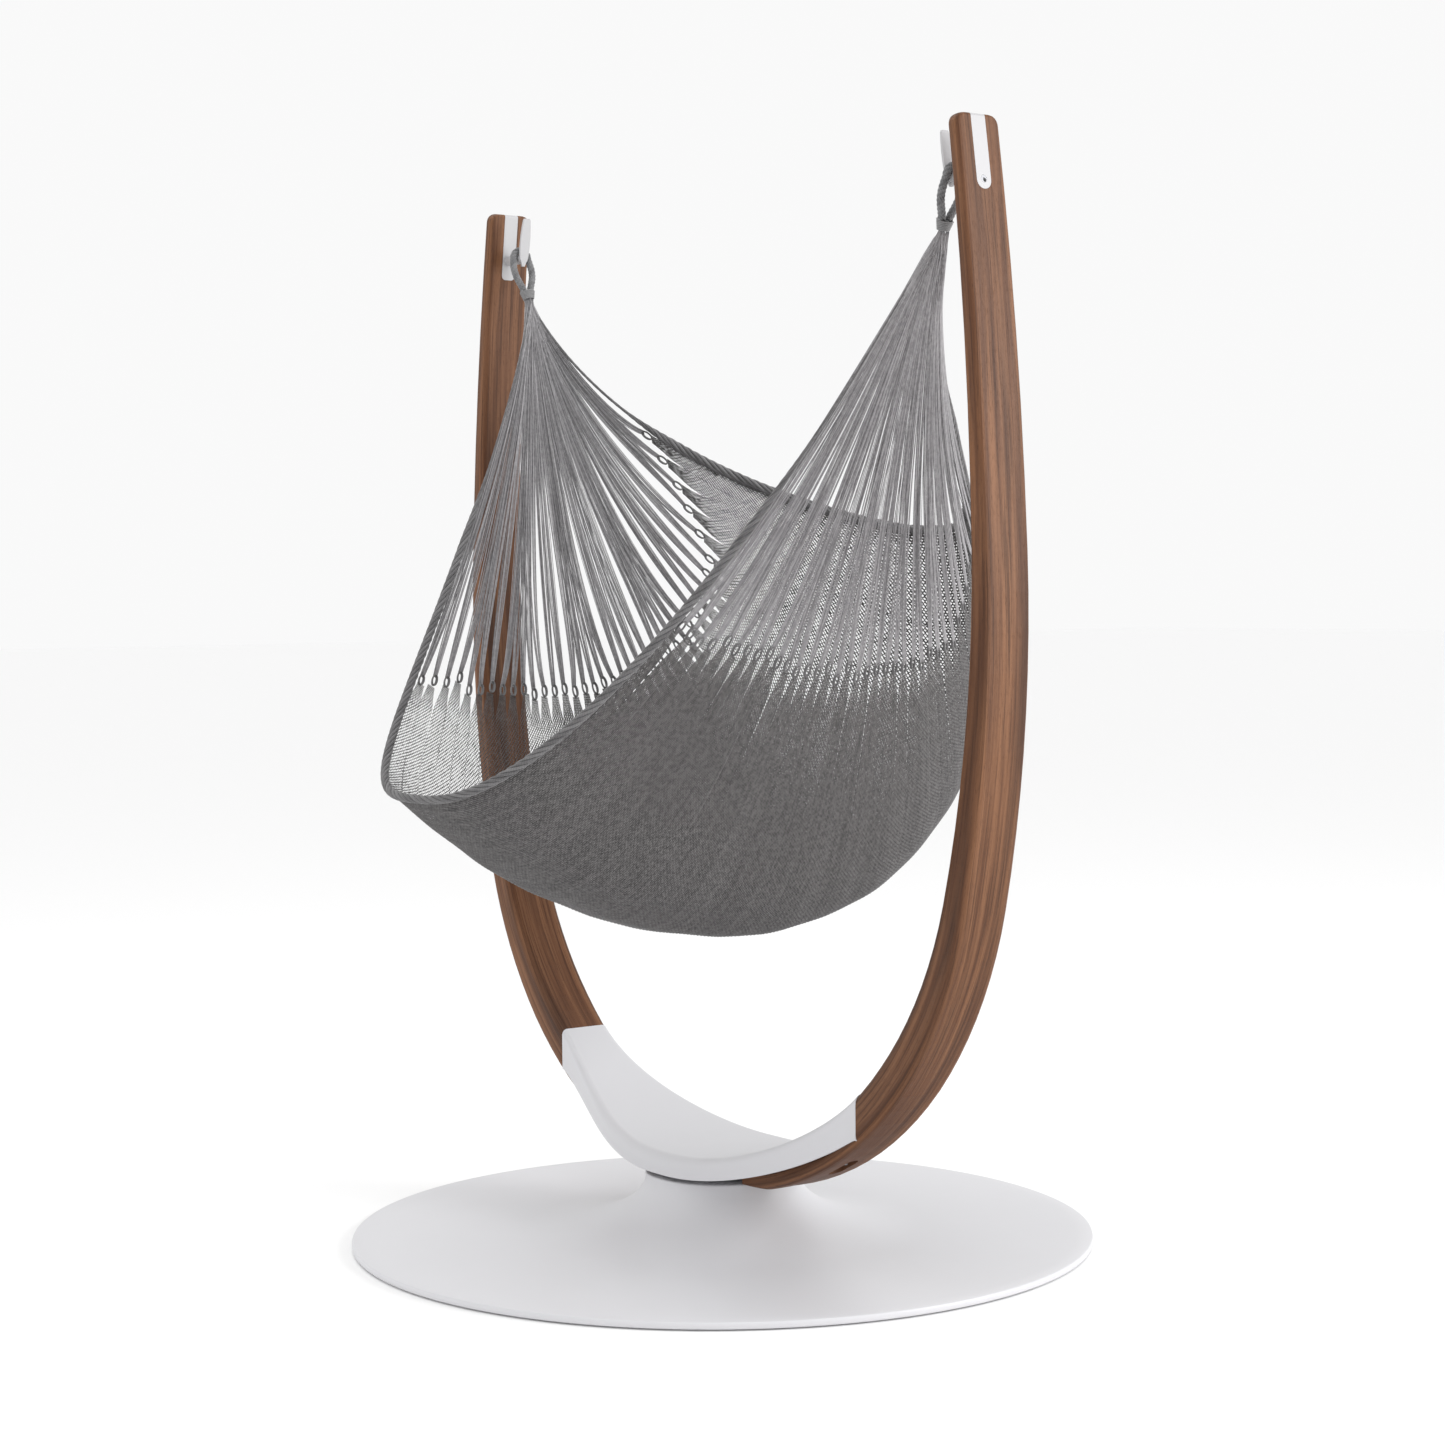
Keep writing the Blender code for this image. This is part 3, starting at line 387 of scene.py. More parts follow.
@dataclass(frozen=True)
class Twine:
    """Twisted cord. It reads the point attributes that `Tubes` writes.

    `fibre` holds cos and sin of the angle round the cord and the metres along it, and `tint` a
    number from 0 to 1 that is one cord's own, plus the painted light that `Tubes` adds as `paler`.
    """

    name: str
    dark: Colour
    pale: Colour
    lay: float                     # metres for one turn of the plies
    depth: float = 0.0003
    roughness: float = 0.86
    own: float = 0.50              # share of the colour that is one cord's own

    def build(self) -> bpy.types.Material:
        """Make the material.

        The two plies are sin(2 a + k s) = sin(2 a) cos(k s) + cos(2 a) sin(k s), where a is the
        angle round the cord and s the metres along it.

        Returns:
            The cord's material.
        """
        shader = Shader(self.name, Specular_IOR_Level=0.25, Sheen_Weight=0.25,
                        Sheen_Roughness=0.5)
        cosine, sine, along = shader.axes(shader.attribute("fibre"))
        cosine, sine = cosine * cosine - sine * sine, 2.0 * sine * cosine
        turn = along * (2 * math.tau / self.lay)
        ply = 0.5 + 0.5 * (sine * turn.cos() + cosine * turn.sin())
        fuzz = shader.noise(shader.place(), 1900.0, 3.0)
        tint = shader.attribute("tint", "Fac")
        mottle = shader.noise(shader.place(), 130.0, 2.0).step(0.36, 0.64)
        share = self.own * tint + 0.28 * ply + (0.72 - self.own) * (0.3 * fuzz + 0.7 * mottle)
        shader.set("Base Color", shader.mix(share, self.dark, self.pale))
        shader.set("Roughness", self.roughness + 0.1 * (fuzz - 0.5))
        shader.bump(0.75 * ply + 0.25 * fuzz, self.depth, 0.7)
        return shader.material


@dataclass(frozen=True)
class Paper:
    """Seamless pale backdrop paper, lit evenly out to its far edge."""

    name: str = "backdrop_paper"
    colour: Colour = (0.93, 0.93, 0.93)
    glow: float = 0.055

    def build(self) -> bpy.types.Material:
        """Make the material.

        Returns:
            A matt off-white surface.
        """
        shader = Shader(self.name, Roughness=0.95, Emission_Strength=1.0)
        grain = shader.noise(shader.place(), 300.0)
        shader.set("Emission Color", (self.glow, self.glow, self.glow, 1.0))
        shader.set("Base Color", shader.mix(grain, tuple(0.99 * c for c in self.colour),
                                            self.colour))
        return shader.material


# ------------------------------------------------------------------------------ mesh helpers
def unit(vectors: Array) -> Array:
    """Vectors scaled to length one along the last axis."""
    return vectors / np.maximum(np.linalg.norm(vectors, axis=-1, keepdims=True), 1e-12)


def mesh_object(name: str, points: Array, quads: Array, material: bpy.types.Material,
                caps: Optional[Array] = None, smooth: bool = True) -> bpy.types.Object:
    """A mesh object from arrays.

    Args:
        name: The piece's name.
        points: (n, 3) points.
        quads: (m, 4) indices.
        material: The piece's material.
        caps: (c, k) indices of end faces, or None.
        smooth: Whether the quads are shaded smooth.

    Returns:
        The linked object.
    """
    mesh = bpy.data.meshes.new(name)
    caps = np.zeros((0, 3), int) if caps is None else caps
    loops = np.concatenate([quads.ravel(), caps.ravel()]).astype(np.int32)
    totals = np.concatenate([np.full(len(quads), 4), np.full(len(caps), caps.shape[1])])
    starts = np.concatenate([[0], np.cumsum(totals)[:-1]]).astype(np.int32)
    mesh.vertices.add(len(points))
    mesh.vertices.foreach_set("co", points.astype(np.float32).ravel())
    mesh.loops.add(len(loops))
    mesh.loops.foreach_set("vertex_index", loops)
    mesh.polygons.add(len(totals))
    mesh.polygons.foreach_set("loop_start", starts)
    mesh.polygons.foreach_set("use_smooth", np.arange(len(totals)) < (len(quads) if smooth else 0))
    mesh.update(calc_edges=True)
    mesh.validate()
    mesh.materials.append(material)
    item = bpy.data.objects.new(name, mesh)
    bpy.context.scene.collection.objects.link(item)
    return item


def write_attribute(item: bpy.types.Object, name: str, values: Array) -> None:
    """Store a point attribute.

    Args:
        item: The mesh object.
        name: The attribute's name.
        values: (points,) floats or (points, 3) vectors.
    """
    kind = "FLOAT" if values.ndim == 1 else "FLOAT_VECTOR"
    key = "value" if values.ndim == 1 else "vector"
    data = item.data.attributes.get(name) or item.data.attributes.new(name, kind, "POINT")
    data.data.foreach_set(key, values.astype(np.float32).ravel())


def grid_quads(rows: int, columns: int, wrap: bool) -> Array:
    """Faces of a grid of points, counted row by row.

    Args:
        rows: How many rows.
        columns: How many points in a row.
        wrap: Whether the last column is joined to the first.

    Returns:
        (m, 4) indices.
    """
    i, j = np.meshgrid(np.arange(rows - 1), np.arange(columns if wrap else columns - 1),
                       indexing="ij")
    k = (j + 1) % columns
    quads = np.stack([i * columns + j, i * columns + k, (i + 1) * columns + k,
                      (i + 1) * columns + j], axis=-1)
    return quads.reshape(-1, 4)


@dataclass
class Tubes:
    """Many round cords in one mesh.

    Attributes:
        name: The piece's name.
        paths: (cords, points, 3) centre lines.
        radius: One radius, or (cords, points) radii.
        side: A vector, or (cords, points, 3) of them, never along a cord, that starts its rings.
        material: The piece's material.
        sides: Corners of a ring.
        seed: Seed of the cords' own tints.
        flatness: Thickness along `side` as a share of the width across it.
        paler: Added to the tints, one number or (cords, points); the bed's painted light comes in
            here.
    """

    name: str
    paths: Array
    radius: Union[float, Array]
    side: Array
    material: bpy.types.Material
    sides: int = 4
    seed: int = 1
    flatness: float = 1.0
    paler: Union[float, Array] = 0.0

    def build(self) -> bpy.types.Object:
        """Make the piece.

        A ring's point is p + r (f cos a * u + sin a * v), where u is `side` made square to the
        cord, v = t x u and f is the flatness.

        Returns:
            The mesh object, with the attributes `fibre` and `tint`.
        """
        cords, count, _ = self.paths.shape
        tangent = unit(np.gradient(self.paths, axis=1))
        first = np.broadcast_to(self.side, self.paths.shape)
        first = unit(first - (first * tangent).sum(-1, keepdims=True) * tangent)
        second = np.cross(tangent, first)
        angle = np.arange(self.sides) * math.tau / self.sides
        cosine, sine = np.cos(angle)[:, None], np.sin(angle)[:, None]
        radius = np.broadcast_to(self.radius, (cords, count))[..., None, None]
        rings = self.paths[:, :, None, :] + radius * (
            self.flatness * cosine * first[:, :, None, :] + sine * second[:, :, None, :])
        one = grid_quads(count, self.sides, wrap=True)
        size = count * self.sides
        starts = np.arange(cords)[:, None] * size
        quads = (one[None] + starts[..., None]).reshape(-1, 4)
        head = starts + np.arange(self.sides)[::-1][None]
        foot = starts + size - self.sides + np.arange(self.sides)[None]
        item = mesh_object(self.name, rings.reshape(-1, 3), quads, self.material,
                           np.concatenate([head, foot]))
        steps = np.linalg.norm(np.diff(self.paths, axis=1), axis=-1)
        along = np.concatenate([np.zeros((cords, 1)), np.cumsum(steps, axis=1)], axis=1)
        shape = (cords, count, self.sides)
        fibre = np.stack([np.broadcast_to(np.cos(angle), shape),
                          np.broadcast_to(np.sin(angle), shape),
                          np.broadcast_to(along[..., None], shape)], axis=-1)
        tint = np.random.default_rng(self.seed).random(cords)[:, None] + np.broadcast_to(
            self.paler, (cords, count))
        write_attribute(item, "fibre", fibre.reshape(-1, 3))
        write_attribute(item, "tint", np.broadcast_to(tint[..., None], shape).ravel())
        return item


def twisted(path: Array, side: Array, strands: int, spread: Union[float, Array],
            lay: float) -> tuple[Array, Array]:
    """Strands wound round one line.

    Strand i lies at p + q (cos w * u + sin w * v) with w = tau (i / n + s / lay), where s is the
    length along the line and u, v are square to it.

    Args:
        path: (points, 3) line.
        side: Vector that is never along the line, or one for each point.
        strands: How many strands.
        spread: Distance of a strand from the line, or one for each point.
        lay: Length of one turn.

    Returns:
        (strands, points, 3) lines and the (strands, points, 3) outward vectors.
    """
    tangent = unit(np.gradient(path, axis=0))
    first = np.broadcast_to(side, path.shape)
    first = unit(first - (first * tangent).sum(-1, keepdims=True) * tangent)
    second = np.cross(tangent, first)
    steps = np.linalg.norm(np.diff(path, axis=0), axis=-1)
    along = np.concatenate([[0.0], np.cumsum(steps)])
    turn = math.tau * (np.arange(strands)[:, None] / strands + along[None] / lay)[..., None]
    out = np.cos(turn) * first[None] + np.sin(turn) * second[None]
    reach = np.broadcast_to(spread, along.shape)[None, :, None]
    return path[None] + reach * out, out


def resampled(path: Array, count: int) -> Array:
    """The same line with other points.

    Args:
        path: (points, 3) line.
        count: How many points are wanted.

    Returns:
        (count, 3) points evenly spaced along it.
    """
    steps = np.linalg.norm(np.diff(path, axis=0), axis=-1)
    along = np.concatenate([[0.0], np.cumsum(steps)])
    at = np.linspace(0.0, along[-1], count)
    return np.stack([np.interp(at, along, path[:, k]) for k in range(3)], axis=-1)


def ease(values: Array) -> Array:
    """The smooth step 3 t^2 - 2 t^3 of values clipped to 0..1."""
    t = np.clip(values, 0.0, 1.0)
    return t * t * (3.0 - 2.0 * t)


# ------------------------------------------------------------------------------ stand
@dataclass
class Base:
    """Spun base: one wall that runs from the rim up a flare to the neck and its flange."""

    coat: bpy.types.Material
    radius: float = 0.700
    wall: float = 0.003
    rim_bottom: float = 0.003
    rim_height: float = 0.0125
    rim_round: float = 0.003
    rise: float = 0.0045
    neck_radius: float = 0.146
    neck_top: float = 0.127
    flare: float = 0.240
    power: float = 2.0
    bore: float = 0.0135
    shoulder_round: float = 0.004
    lip: float = 0.006             # width of the rim's underside
    flange: float = 0.005          # thickness of the flange on the neck
    crease: float = 40.0           # degrees past which an edge is shaded sharp
    turns: int = 256

    def profile(self) -> Array:
        """The wall's section.

        The flare is ((r0 + a - r) / a)^n + ((z - z0) / b)^n = 1, a superellipse quarter, and the
        inside of the wall is every third point of it, lowered by the wall's thickness.

        Returns:
            (points, 2) closed outline of radius and z.
        """
        top = self.rim_bottom + self.rim_height
        foot, neck = top + self.rise, self.neck_top
        soft = self.shoulder_round
        corner = np.linspace(0, math.pi / 2, 6)
        shoulder = np.stack([self.neck_radius - soft + soft * np.sin(corner),
                             neck - soft + soft * np.cos(corner)], -1)
        turn = np.linspace(0, math.pi / 2, 40)[1:]
        drop = neck - soft - foot
        flare = np.stack([self.neck_radius + self.flare * (1 - np.cos(turn) ** (2 / self.power)),
                          neck - soft - drop * np.sin(turn) ** (2 / self.power)], -1)
        slope = np.stack([np.linspace(self.neck_radius + self.flare,
                                      self.radius - self.rim_round, 12)[1:],
                          np.linspace(foot, top, 12)[1:]], -1)
        arc = np.linspace(0, math.pi, 9)[1:]
        half = self.rim_height / 2
        edge = np.stack([self.radius - self.rim_round + self.rim_round * np.sin(arc),
                         top - half + half * np.cos(arc)], -1)
        rim = np.array([[self.radius - self.lip, self.rim_bottom],
                        [self.radius - self.lip, top - self.wall]])
        under = flare[::-3] - self.wall
        crown = np.array([[self.neck_radius - self.wall, neck - self.flange],
                          [self.bore, neck - self.flange]])
        start = np.array([[self.bore, neck]])
        return np.concatenate([start, shoulder, flare, slope, edge, rim, under, crown])

    def build(self) -> bpy.types.Object:
        """Make the turned shell and hand it the CAD shell's place.

        Returns:
            The shell: the outline turned once round Z.
        """
        outline = self.profile()
        angle = np.arange(self.turns) * math.tau / self.turns
        points = np.stack([outline[:, 0][:, None] * np.cos(angle),
                           outline[:, 0][:, None] * np.sin(angle),
                           np.repeat(outline[:, 1][:, None], self.turns, 1)], -1)
        closed = np.concatenate([points, points[:1]])
        quads = grid_quads(len(closed), self.turns, wrap=True) % (len(points) * self.turns)
        shell = mesh_object("base_spun_shell", points.reshape(-1, 3), quads[:, ::-1], self.coat)
        shell.data.set_sharp_from_angle(angle=math.radians(self.crease))
        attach(shell, Body.BASE.value)
        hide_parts("base_shell")
        return shell


@dataclass(frozen=True)
class ArmLine:
    """Centre line of an arm: tangent arcs that start level beside the middle of the stand."""

    start: tuple[float, float] = (0.0243, 0.1407)
    arcs: tuple = ((0.730, 75.6), (2.148, 16.1), (6.120, 6.8))

    def nearest(self, x: Array, z: Array) -> tuple[Array, Array]:
        """Length along the chain and distance outwards of points in the arm's plane.

        In an arc of centre c and radius R, a point at angle a from the arc's start has
        s = s0 + R a, and stands |p - c| - R outside the line.

        Args:
            x: Distances from the middle of the stand.
            z: Heights.

        Returns:
            The lengths along and the distances outwards.
        """
        best = np.full(x.shape, np.inf)
        along, out = np.zeros(x.shape), np.zeros(x.shape)
        cx, cz = self.start
        heading, reach = 0.0, 0.0
        for radius, degrees in self.arcs:
            middle = (cx - radius * math.sin(heading), cz + radius * math.cos(heading))
            angle = np.arctan2(x - middle[0], middle[1] - z) - heading
            angle = (angle + math.pi) % math.tau - math.pi
            limit = math.radians(degrees)
            offset = np.hypot(x - middle[0], z - middle[1]) - radius
            miss = np.abs(offset) + radius * np.maximum(0, np.abs(angle - limit / 2) - limit / 2)
            nearer = miss < best
            along = np.where(nearer, reach + radius * angle, along)
            out = np.where(nearer, offset, out)
            best = np.where(nearer, miss, best)
            heading += limit
            cx = middle[0] + radius * math.sin(heading)
            cz = middle[1] - radius * math.cos(heading)
            reach += radius * limit
        return along, out


@dataclass
class Arms:
    """The two timber arms: the CAD shapes, given the grain of wood bent along them.

    The shifts take each arm to its own part of the grain pattern, so that no two boards match.
    """

    timber: bpy.types.Material
    line: ArmLine = field(default_factory=ArmLine)
    shift_along: float = 7.3
    shift_across: float = 0.9

    def build(self) -> None:
        """Write each arm's grain coordinates and its material."""
        for side in Side:
            arm = frame["nodes"][f"arm_{side.word}"]
            flat = np.zeros(len(arm.data.vertices) * 3, np.float32)
            arm.data.vertices.foreach_get("co", flat)
            points = flat.reshape(-1, 3)
            along, out = self.line.nearest(np.abs(points[:, 0]), points[:, 2])
            grain = np.stack([along + self.shift_along * side.value,
                              points[:, 1] + self.shift_across * side.value, out], -1)
            write_attribute(arm, "grain", grain)
            arm.data.materials.clear()
            arm.data.materials.append(self.timber)


@dataclass
class Saddle:
    """Cast saddle: an inverted channel that swells over the neck and follows the arms' curve."""

    coat: bpy.types.Material
    half_length: float = 0.475
    half_width: float = 0.148
    end_half_width: float = 0.05416
    skin: float = 0.005
    plan_power: float = 1.75
    corner_end: float = 0.012
    corner_middle: float = 0.026
    rise_end: float = 0.008
    rise_middle: float = 0.031
    arc_radius: float = 0.730
    arc_start: float = 0.0243
    arc_bottom: float = 0.1407
    depth: float = 0.070
    sections: int = 96
    corner_steps: int = 10
    inner_corner: float = 0.0003   # smallest radius of the inner skin's corners
    crease: float = 40.0           # degrees past which an edge is shaded sharp

    def face(self, x: Array, sign: int) -> Array:
        """Height of one face of the timber.

        z = c - sqrt((R + sign d / 2)^2 - max(0, |x| - x0)^2), with c the arc's centre height.

        Args:
            x: Places across the stand.
            sign: -1 for the upper face, +1 for the under one.

        Returns:
            The heights.
        """
        radius = self.arc_radius + sign * self.depth / 2
        centre = self.arc_bottom + self.arc_radius
        return centre - np.sqrt(radius ** 2 - np.maximum(0, np.abs(x) - self.arc_start) ** 2)

    def build(self) -> bpy.types.Object:
        """Make the saddle.

        Half width = e + (w - e) (1 - (x/l)^2)^p in plan; the skirt's edge is above the timber's
        underside by an amount that grows to the middle as sqrt(1 - (x/l)^2).

        Returns:
            The saddle: outer and inner skin joined at the skirt and at both ends.
        """
        x = -self.half_length * np.cos(np.linspace(0, math.pi, self.sections))
        share = np.clip(1 - (x / self.half_length) ** 2, 0, 1)
        half = self.end_half_width + (self.half_width - self.end_half_width) * (
            share ** self.plan_power)
        foot = self.face(x, 1) + self.rise_end + (self.rise_middle - self.rise_end) * share ** 0.5
        top = self.face(x, -1)
        corner = self.corner_end + (self.corner_middle - self.corner_end) * (
            1 - np.abs(x) / self.half_length)
        spare = half - self.end_half_width + self.inner_corner
        turn = np.linspace(0, math.pi / 2, self.corner_steps)[None]
        rings = []
        for offset in (0.0, self.skin):
            radius = corner if offset == 0.0 else np.minimum(corner - offset, spare)
            w, r = (half - offset)[:, None], radius[:, None]
            y = np.concatenate([-w, -w + r * (1 - np.cos(turn)), np.zeros_like(w)], 1)
            z = np.concatenate([foot[:, None], top[:, None] - offset - r * (1 - np.sin(turn)),
                                top[:, None] - offset], 1)
            y = np.concatenate([y, -y[:, -2::-1]], 1)
            z = np.concatenate([z, z[:, -2::-1]], 1)
            ring = np.stack([np.repeat(x[:, None], y.shape[1], 1), y, z], -1)
            rings.append(ring if offset == 0.0 else ring[:, ::-1])
        points = np.concatenate(rings, 1)
        count = points.shape[1]
        quads = grid_quads(self.sections, count, wrap=True)
        pair = np.arange(count // 2 - 1)
        ends = []
        for start in (0, (self.sections - 1) * count):
            strip = np.stack([pair, pair + 1, count - 2 - pair, count - 1 - pair], -1) + start
            ends.append(strip if start == 0 else strip[:, ::-1])
        saddle = mesh_object("saddle_casting", points.reshape(-1, 3),
                             np.concatenate([quads[:, ::-1], *ends]), self.coat)
        saddle.data.set_sharp_from_angle(angle=math.radians(self.crease))
        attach(saddle, Body.CRADLE.value)
        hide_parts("saddle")
        return saddle


# ------------------------------------------------------------------------------ hammock
@dataclass(frozen=True)
class HammockSurface:
    """The surface that every cord of the hammock lies on.

    A string is numbered by `across`, 0 at the front edge and 1 at the back, and a point of it by
    `along`, -1 at the left whipping and +1 at the right one. With span s = |along| (its kink at
    the middle rounded off towards the back), the string hangs by d (1 - s^p)^q in a plane that
    leans by an angle, and d, p, q and the angle change from string to string.
    """

    half_span: float = 0.657
    height: float = 1.8275
    front_drop: float = 1.166
    belly: float = 0.255
    back_drop: float = 0.720
    lean: tuple[float, float] = (34.4, -47.8)
    lean_end: tuple[float, float] = (23.0, -17.2)
    front_sway: tuple[float, float] = (2.654, 1.359)
    back_sway: tuple[float, float] = (1.30, 0.90)
    softness: float = 0.16
    step: float = 0.002            # small difference that slopes are worked out over
    samples: int = 400             # points of a string that is measured

    def point(self, across: Array, along: Array) -> Array:
        """Points of the surface.

        P = (a u, -f sin(lean), h - f cos(lean)), with f the fall described above.

        Args:
            across: Numbers of the strings.
            along: Numbers along them.

        Returns:
            (..., 3) points.
        """
        v, u = np.broadcast_arrays(np.asarray(across, float), np.asarray(along, float))
        drop = self.front_drop + self.belly * v - (
            self.belly + self.front_drop - self.back_drop) * v ** 4
        power = self.front_sway[0] + (self.back_sway[0] - self.front_sway[0]) * v
        root = self.front_sway[1] + (self.back_sway[1] - self.front_sway[1]) * v
        soft = self.softness * v
        span = (np.hypot(u, soft) - soft) / (np.hypot(1.0, soft) - soft)
        fall = drop * np.maximum(0.0, 1.0 - span ** power) ** root
        middle = self.lean[0] + (self.lean[1] - self.lean[0]) * v
        end = self.lean_end[0] + (self.lean_end[1] - self.lean_end[0]) * v
        angle = np.radians(middle + (end - middle) * u ** 2)
        return np.stack([self.half_span * u, -fall * np.sin(angle),
                         self.height - fall * np.cos(angle)], -1)

    def normal(self, across: Array, along: Array) -> Array:
        """Unit normals of the surface, from small differences in both numbers.

        Args:
            across: Numbers of the strings.
            along: Numbers along them.

        Returns:
            (..., 3) vectors.
        """
        step = self.step
        v, u = np.broadcast_arrays(np.asarray(across, float), np.asarray(along, float))
        low, high = np.clip(v - step, 0, 1), np.clip(v + step, 0, 1)
        dv = self.point(high, u) - self.point(low, u)
        u_safe = np.clip(u, -0.99, 0.99)    # the last hundredth runs into the whipping
        du = self.point(v, u_safe + step) - self.point(v, u_safe - step)
        return unit(np.cross(du, dv))

    def knot_along(self, across: Array, side: Side, reach: Array) -> Array:
        """Where strings are a given length from their whipping.

        Args:
            across: Numbers of the strings.
            side: The end that the length is taken from.
            reach: Metres from that whipping, one for each string.

        Returns:
            The `along` of each place.
        """
        u = np.linspace(1.0, 0.0, self.samples) * side.value
        out = []
        for v, length in zip(np.atleast_1d(across), np.atleast_1d(reach)):
            line = self.point(np.full(u.shape, v), u)
            steps = np.linalg.norm(np.diff(line, axis=0), axis=-1)
            out.append(np.interp(length, np.concatenate([[0.0], np.cumsum(steps)]), u))
        return np.array(out)


@dataclass
class Hammock:
    """The woven bed, the fans of end strings with their looped ends, and the two edge cords."""

    net: bpy.types.Material
    strings: bpy.types.Material
    edge: bpy.types.Material
    surface: HammockSurface = field(default_factory=HammockSurface)
    bundles: int = 38
    cords_per_bundle: int = 11
    nodes: int = 250
    cord_flatness: float = 0.42
    cover: float = 1.16
    strand_radius: float = 0.00072
    strands: int = 16
    eye_length: float = 0.020
    tuft: float = 0.060
    clump_share: float = 0.45
    panels: int = 5
    margin: float = 0.004          # share of the width left free for each edge cord
    unevenness: float = 0.006      # scatter of the end strings' lengths
    knot_spread: float = 0.58      # share of its width that a bundle has at its knot
    slack_sway: float = 0.72       # share of the zigzag lost where the net is closed
    sway_start: float = 0.020      # distance from the knot where the zigzag starts
    ridge: float = 0.0022          # height of the ridges that run on from the knots
    weave: float = 0.0005          # rise and fall of a cord at a crossing
    measured_every: int = 6        # step between the points that a panel is measured by
    string_points: int = 22
    loop_radius: float = 0.0017
    loop_points: int = 17
    slimmest: float = 0.0006       # half width of the thinnest cord
    widest: float = 0.0040         # half width of the widest cord
    reach_left: tuple = ((0.0, 0.1, 0.2, 0.4, 0.6, 0.75, 0.85, 0.90, 0.94, 0.97, 1.0),
                         (0.94, 0.89, 0.86, 0.83, 0.80, 0.74, 0.65, 0.55, 0.47, 0.40, 0.32))
    reach_right: tuple = ((0.0, 0.2, 0.6, 0.75, 0.85, 1.0),
                          (0.80, 0.775, 0.785, 0.80, 0.70, 0.60))

    def bundle_across(self) -> Array:
        """The `across` of each bundle of end strings."""
        share = (np.arange(self.bundles) + 0.5) / self.bundles
        return self.margin + (1 - 2 * self.margin) * share

    def knot_reach(self, across: Array, side: Side) -> Array:
        """Length of the end strings, uneven by a few millimetres.

        Args:
            across: Numbers of the strings.
            side: The end that they are at.

        Returns:
            Metres from the whipping to the knot.
        """
        table = self.reach_left if side is Side.LEFT else self.reach_right
        uneven = np.random.default_rng(3 + side.value).normal(0, self.unevenness, len(across))
        return np.interp(across, *table) + uneven

    def net_lines(self) -> tuple[Array, Array, Array, Array]:
        """Centre lines of the bed's cords.

        Cord i zigzags by half the cord spacing, to one side where i + k is even and to the other
        where it is odd, so it meets one neighbour and then the other. Over the last `tuft` metres
        the cords of a bundle close up to its knot and the zigzag dies out. Ridges that fade away
        from the knots, two slow waves and the weave's own rise and fall stand off the surface.

        Returns:
            (cords, nodes, 3) lines, the `across` and `along` of their points, and how far each
            bundle has spread there, from 0 to 1.
        """
        knots = self.bundle_across()
        jitter = np.random.default_rng(3)
        ends = [self.surface.knot_along(knots, side, self.knot_reach(knots, side)
                                        + self.eye_length) for side in Side]
        cords = self.bundles * self.cords_per_bundle
        bundle = np.repeat(np.arange(self.bundles), self.cords_per_bundle)
        own = self.margin + (1 - 2 * self.margin) * (np.arange(cords) + 0.5) / cords
        rows_v, rows_u, rows_open = [], [], []
        for i in range(cords):
            dense = np.linspace(ends[0][bundle[i]], ends[1][bundle[i]], 500)
            line = self.surface.point(np.full(dense.shape, own[i]), dense)
            steps = np.linalg.norm(np.diff(line, axis=0), axis=-1)
            length = np.concatenate([[0.0], np.cumsum(steps)])
            at = np.linspace(0.0, length[-1], self.nodes)
            near = np.minimum(at, length[-1] - at)
            open_ = self.knot_spread + (1 - self.knot_spread) * ease(near / self.tuft)
            sign = 1.0 - 2.0 * ((i + np.arange(self.nodes)) % 2)
            half = 0.5 * (1 - 2 * self.margin) / cords
            u_own = np.interp(at, length, dense)
            slack = ease((self.closeness(own[i], u_own) - 0.5) / 0.5)
            sway = half * sign * ease((near - self.sway_start) / self.tuft) * (
                1.0 - self.slack_sway * slack)
            rows_u.append(u_own)
            rows_v.append(knots[bundle[i]] + (own[i] - knots[bundle[i]]) * open_ + sway)
            rows_open.append(open_)
        v, u = np.array(rows_v), np.array(rows_u)
        lines = self.surface.point(v, u)
        normal = self.surface.normal(v, u)
        near = np.minimum(np.arange(self.nodes), np.arange(self.nodes)[::-1]) / self.nodes
        heights = jitter.normal(0, 1, self.bundles)[bundle][:, None]
        ridge = self.ridge * np.exp(-near / 0.09)[None] * heights
        slow = (0.0011 * np.sin(v * 37.0 + 2.2 * np.sin(u * 5.0))
                + 0.0006 * np.sin(v * 91.0 + u * 7.0))
        turns = np.arange(cords)[:, None] + np.arange(self.nodes)[None]
        weave = self.weave * (1 - 2 * (turns % 2))
        return lines + normal * (ridge + slow + weave)[..., None], v, u, np.array(rows_open)

    def build_bed(self) -> list[tuple[bpy.types.Object, Array]]:
        """Make the woven bed in panels, each a sheet of its own.

        Returns:
            Each panel and its cords' lines.
        """
        lines, v, u, spread = self.net_lines()
        made = []
        per = math.ceil(len(lines) / self.panels)
        for number in range(self.panels):
            part = slice(number * per, min(len(lines), (number + 1) * per))
            # painted light: the cords' tints grow paler towards the right, where the key light
            # falls
            piece = Tubes(f"net_bed_panel_{number + 1}", lines[part],
                          self.cord_girth(v[part], u[part], spread[part]),
                          self.surface.normal(v[part], u[part]), self.net, sides=4,
                          seed=20 + number, flatness=self.cord_flatness,
                          paler=self.painted_key_light(u[part])).build()
            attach(piece, Body.HAMMOCK.value)
            made.append((piece, lines[part]))
        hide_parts("net_bed")
        return made

    def painted_key_light(self, u: Array) -> Array:
        """Painted light added to the cords' tints: they are paler towards the right, where the key
        falls.
        """
        return 0.9 * ease((u + 0.10) / 0.75)

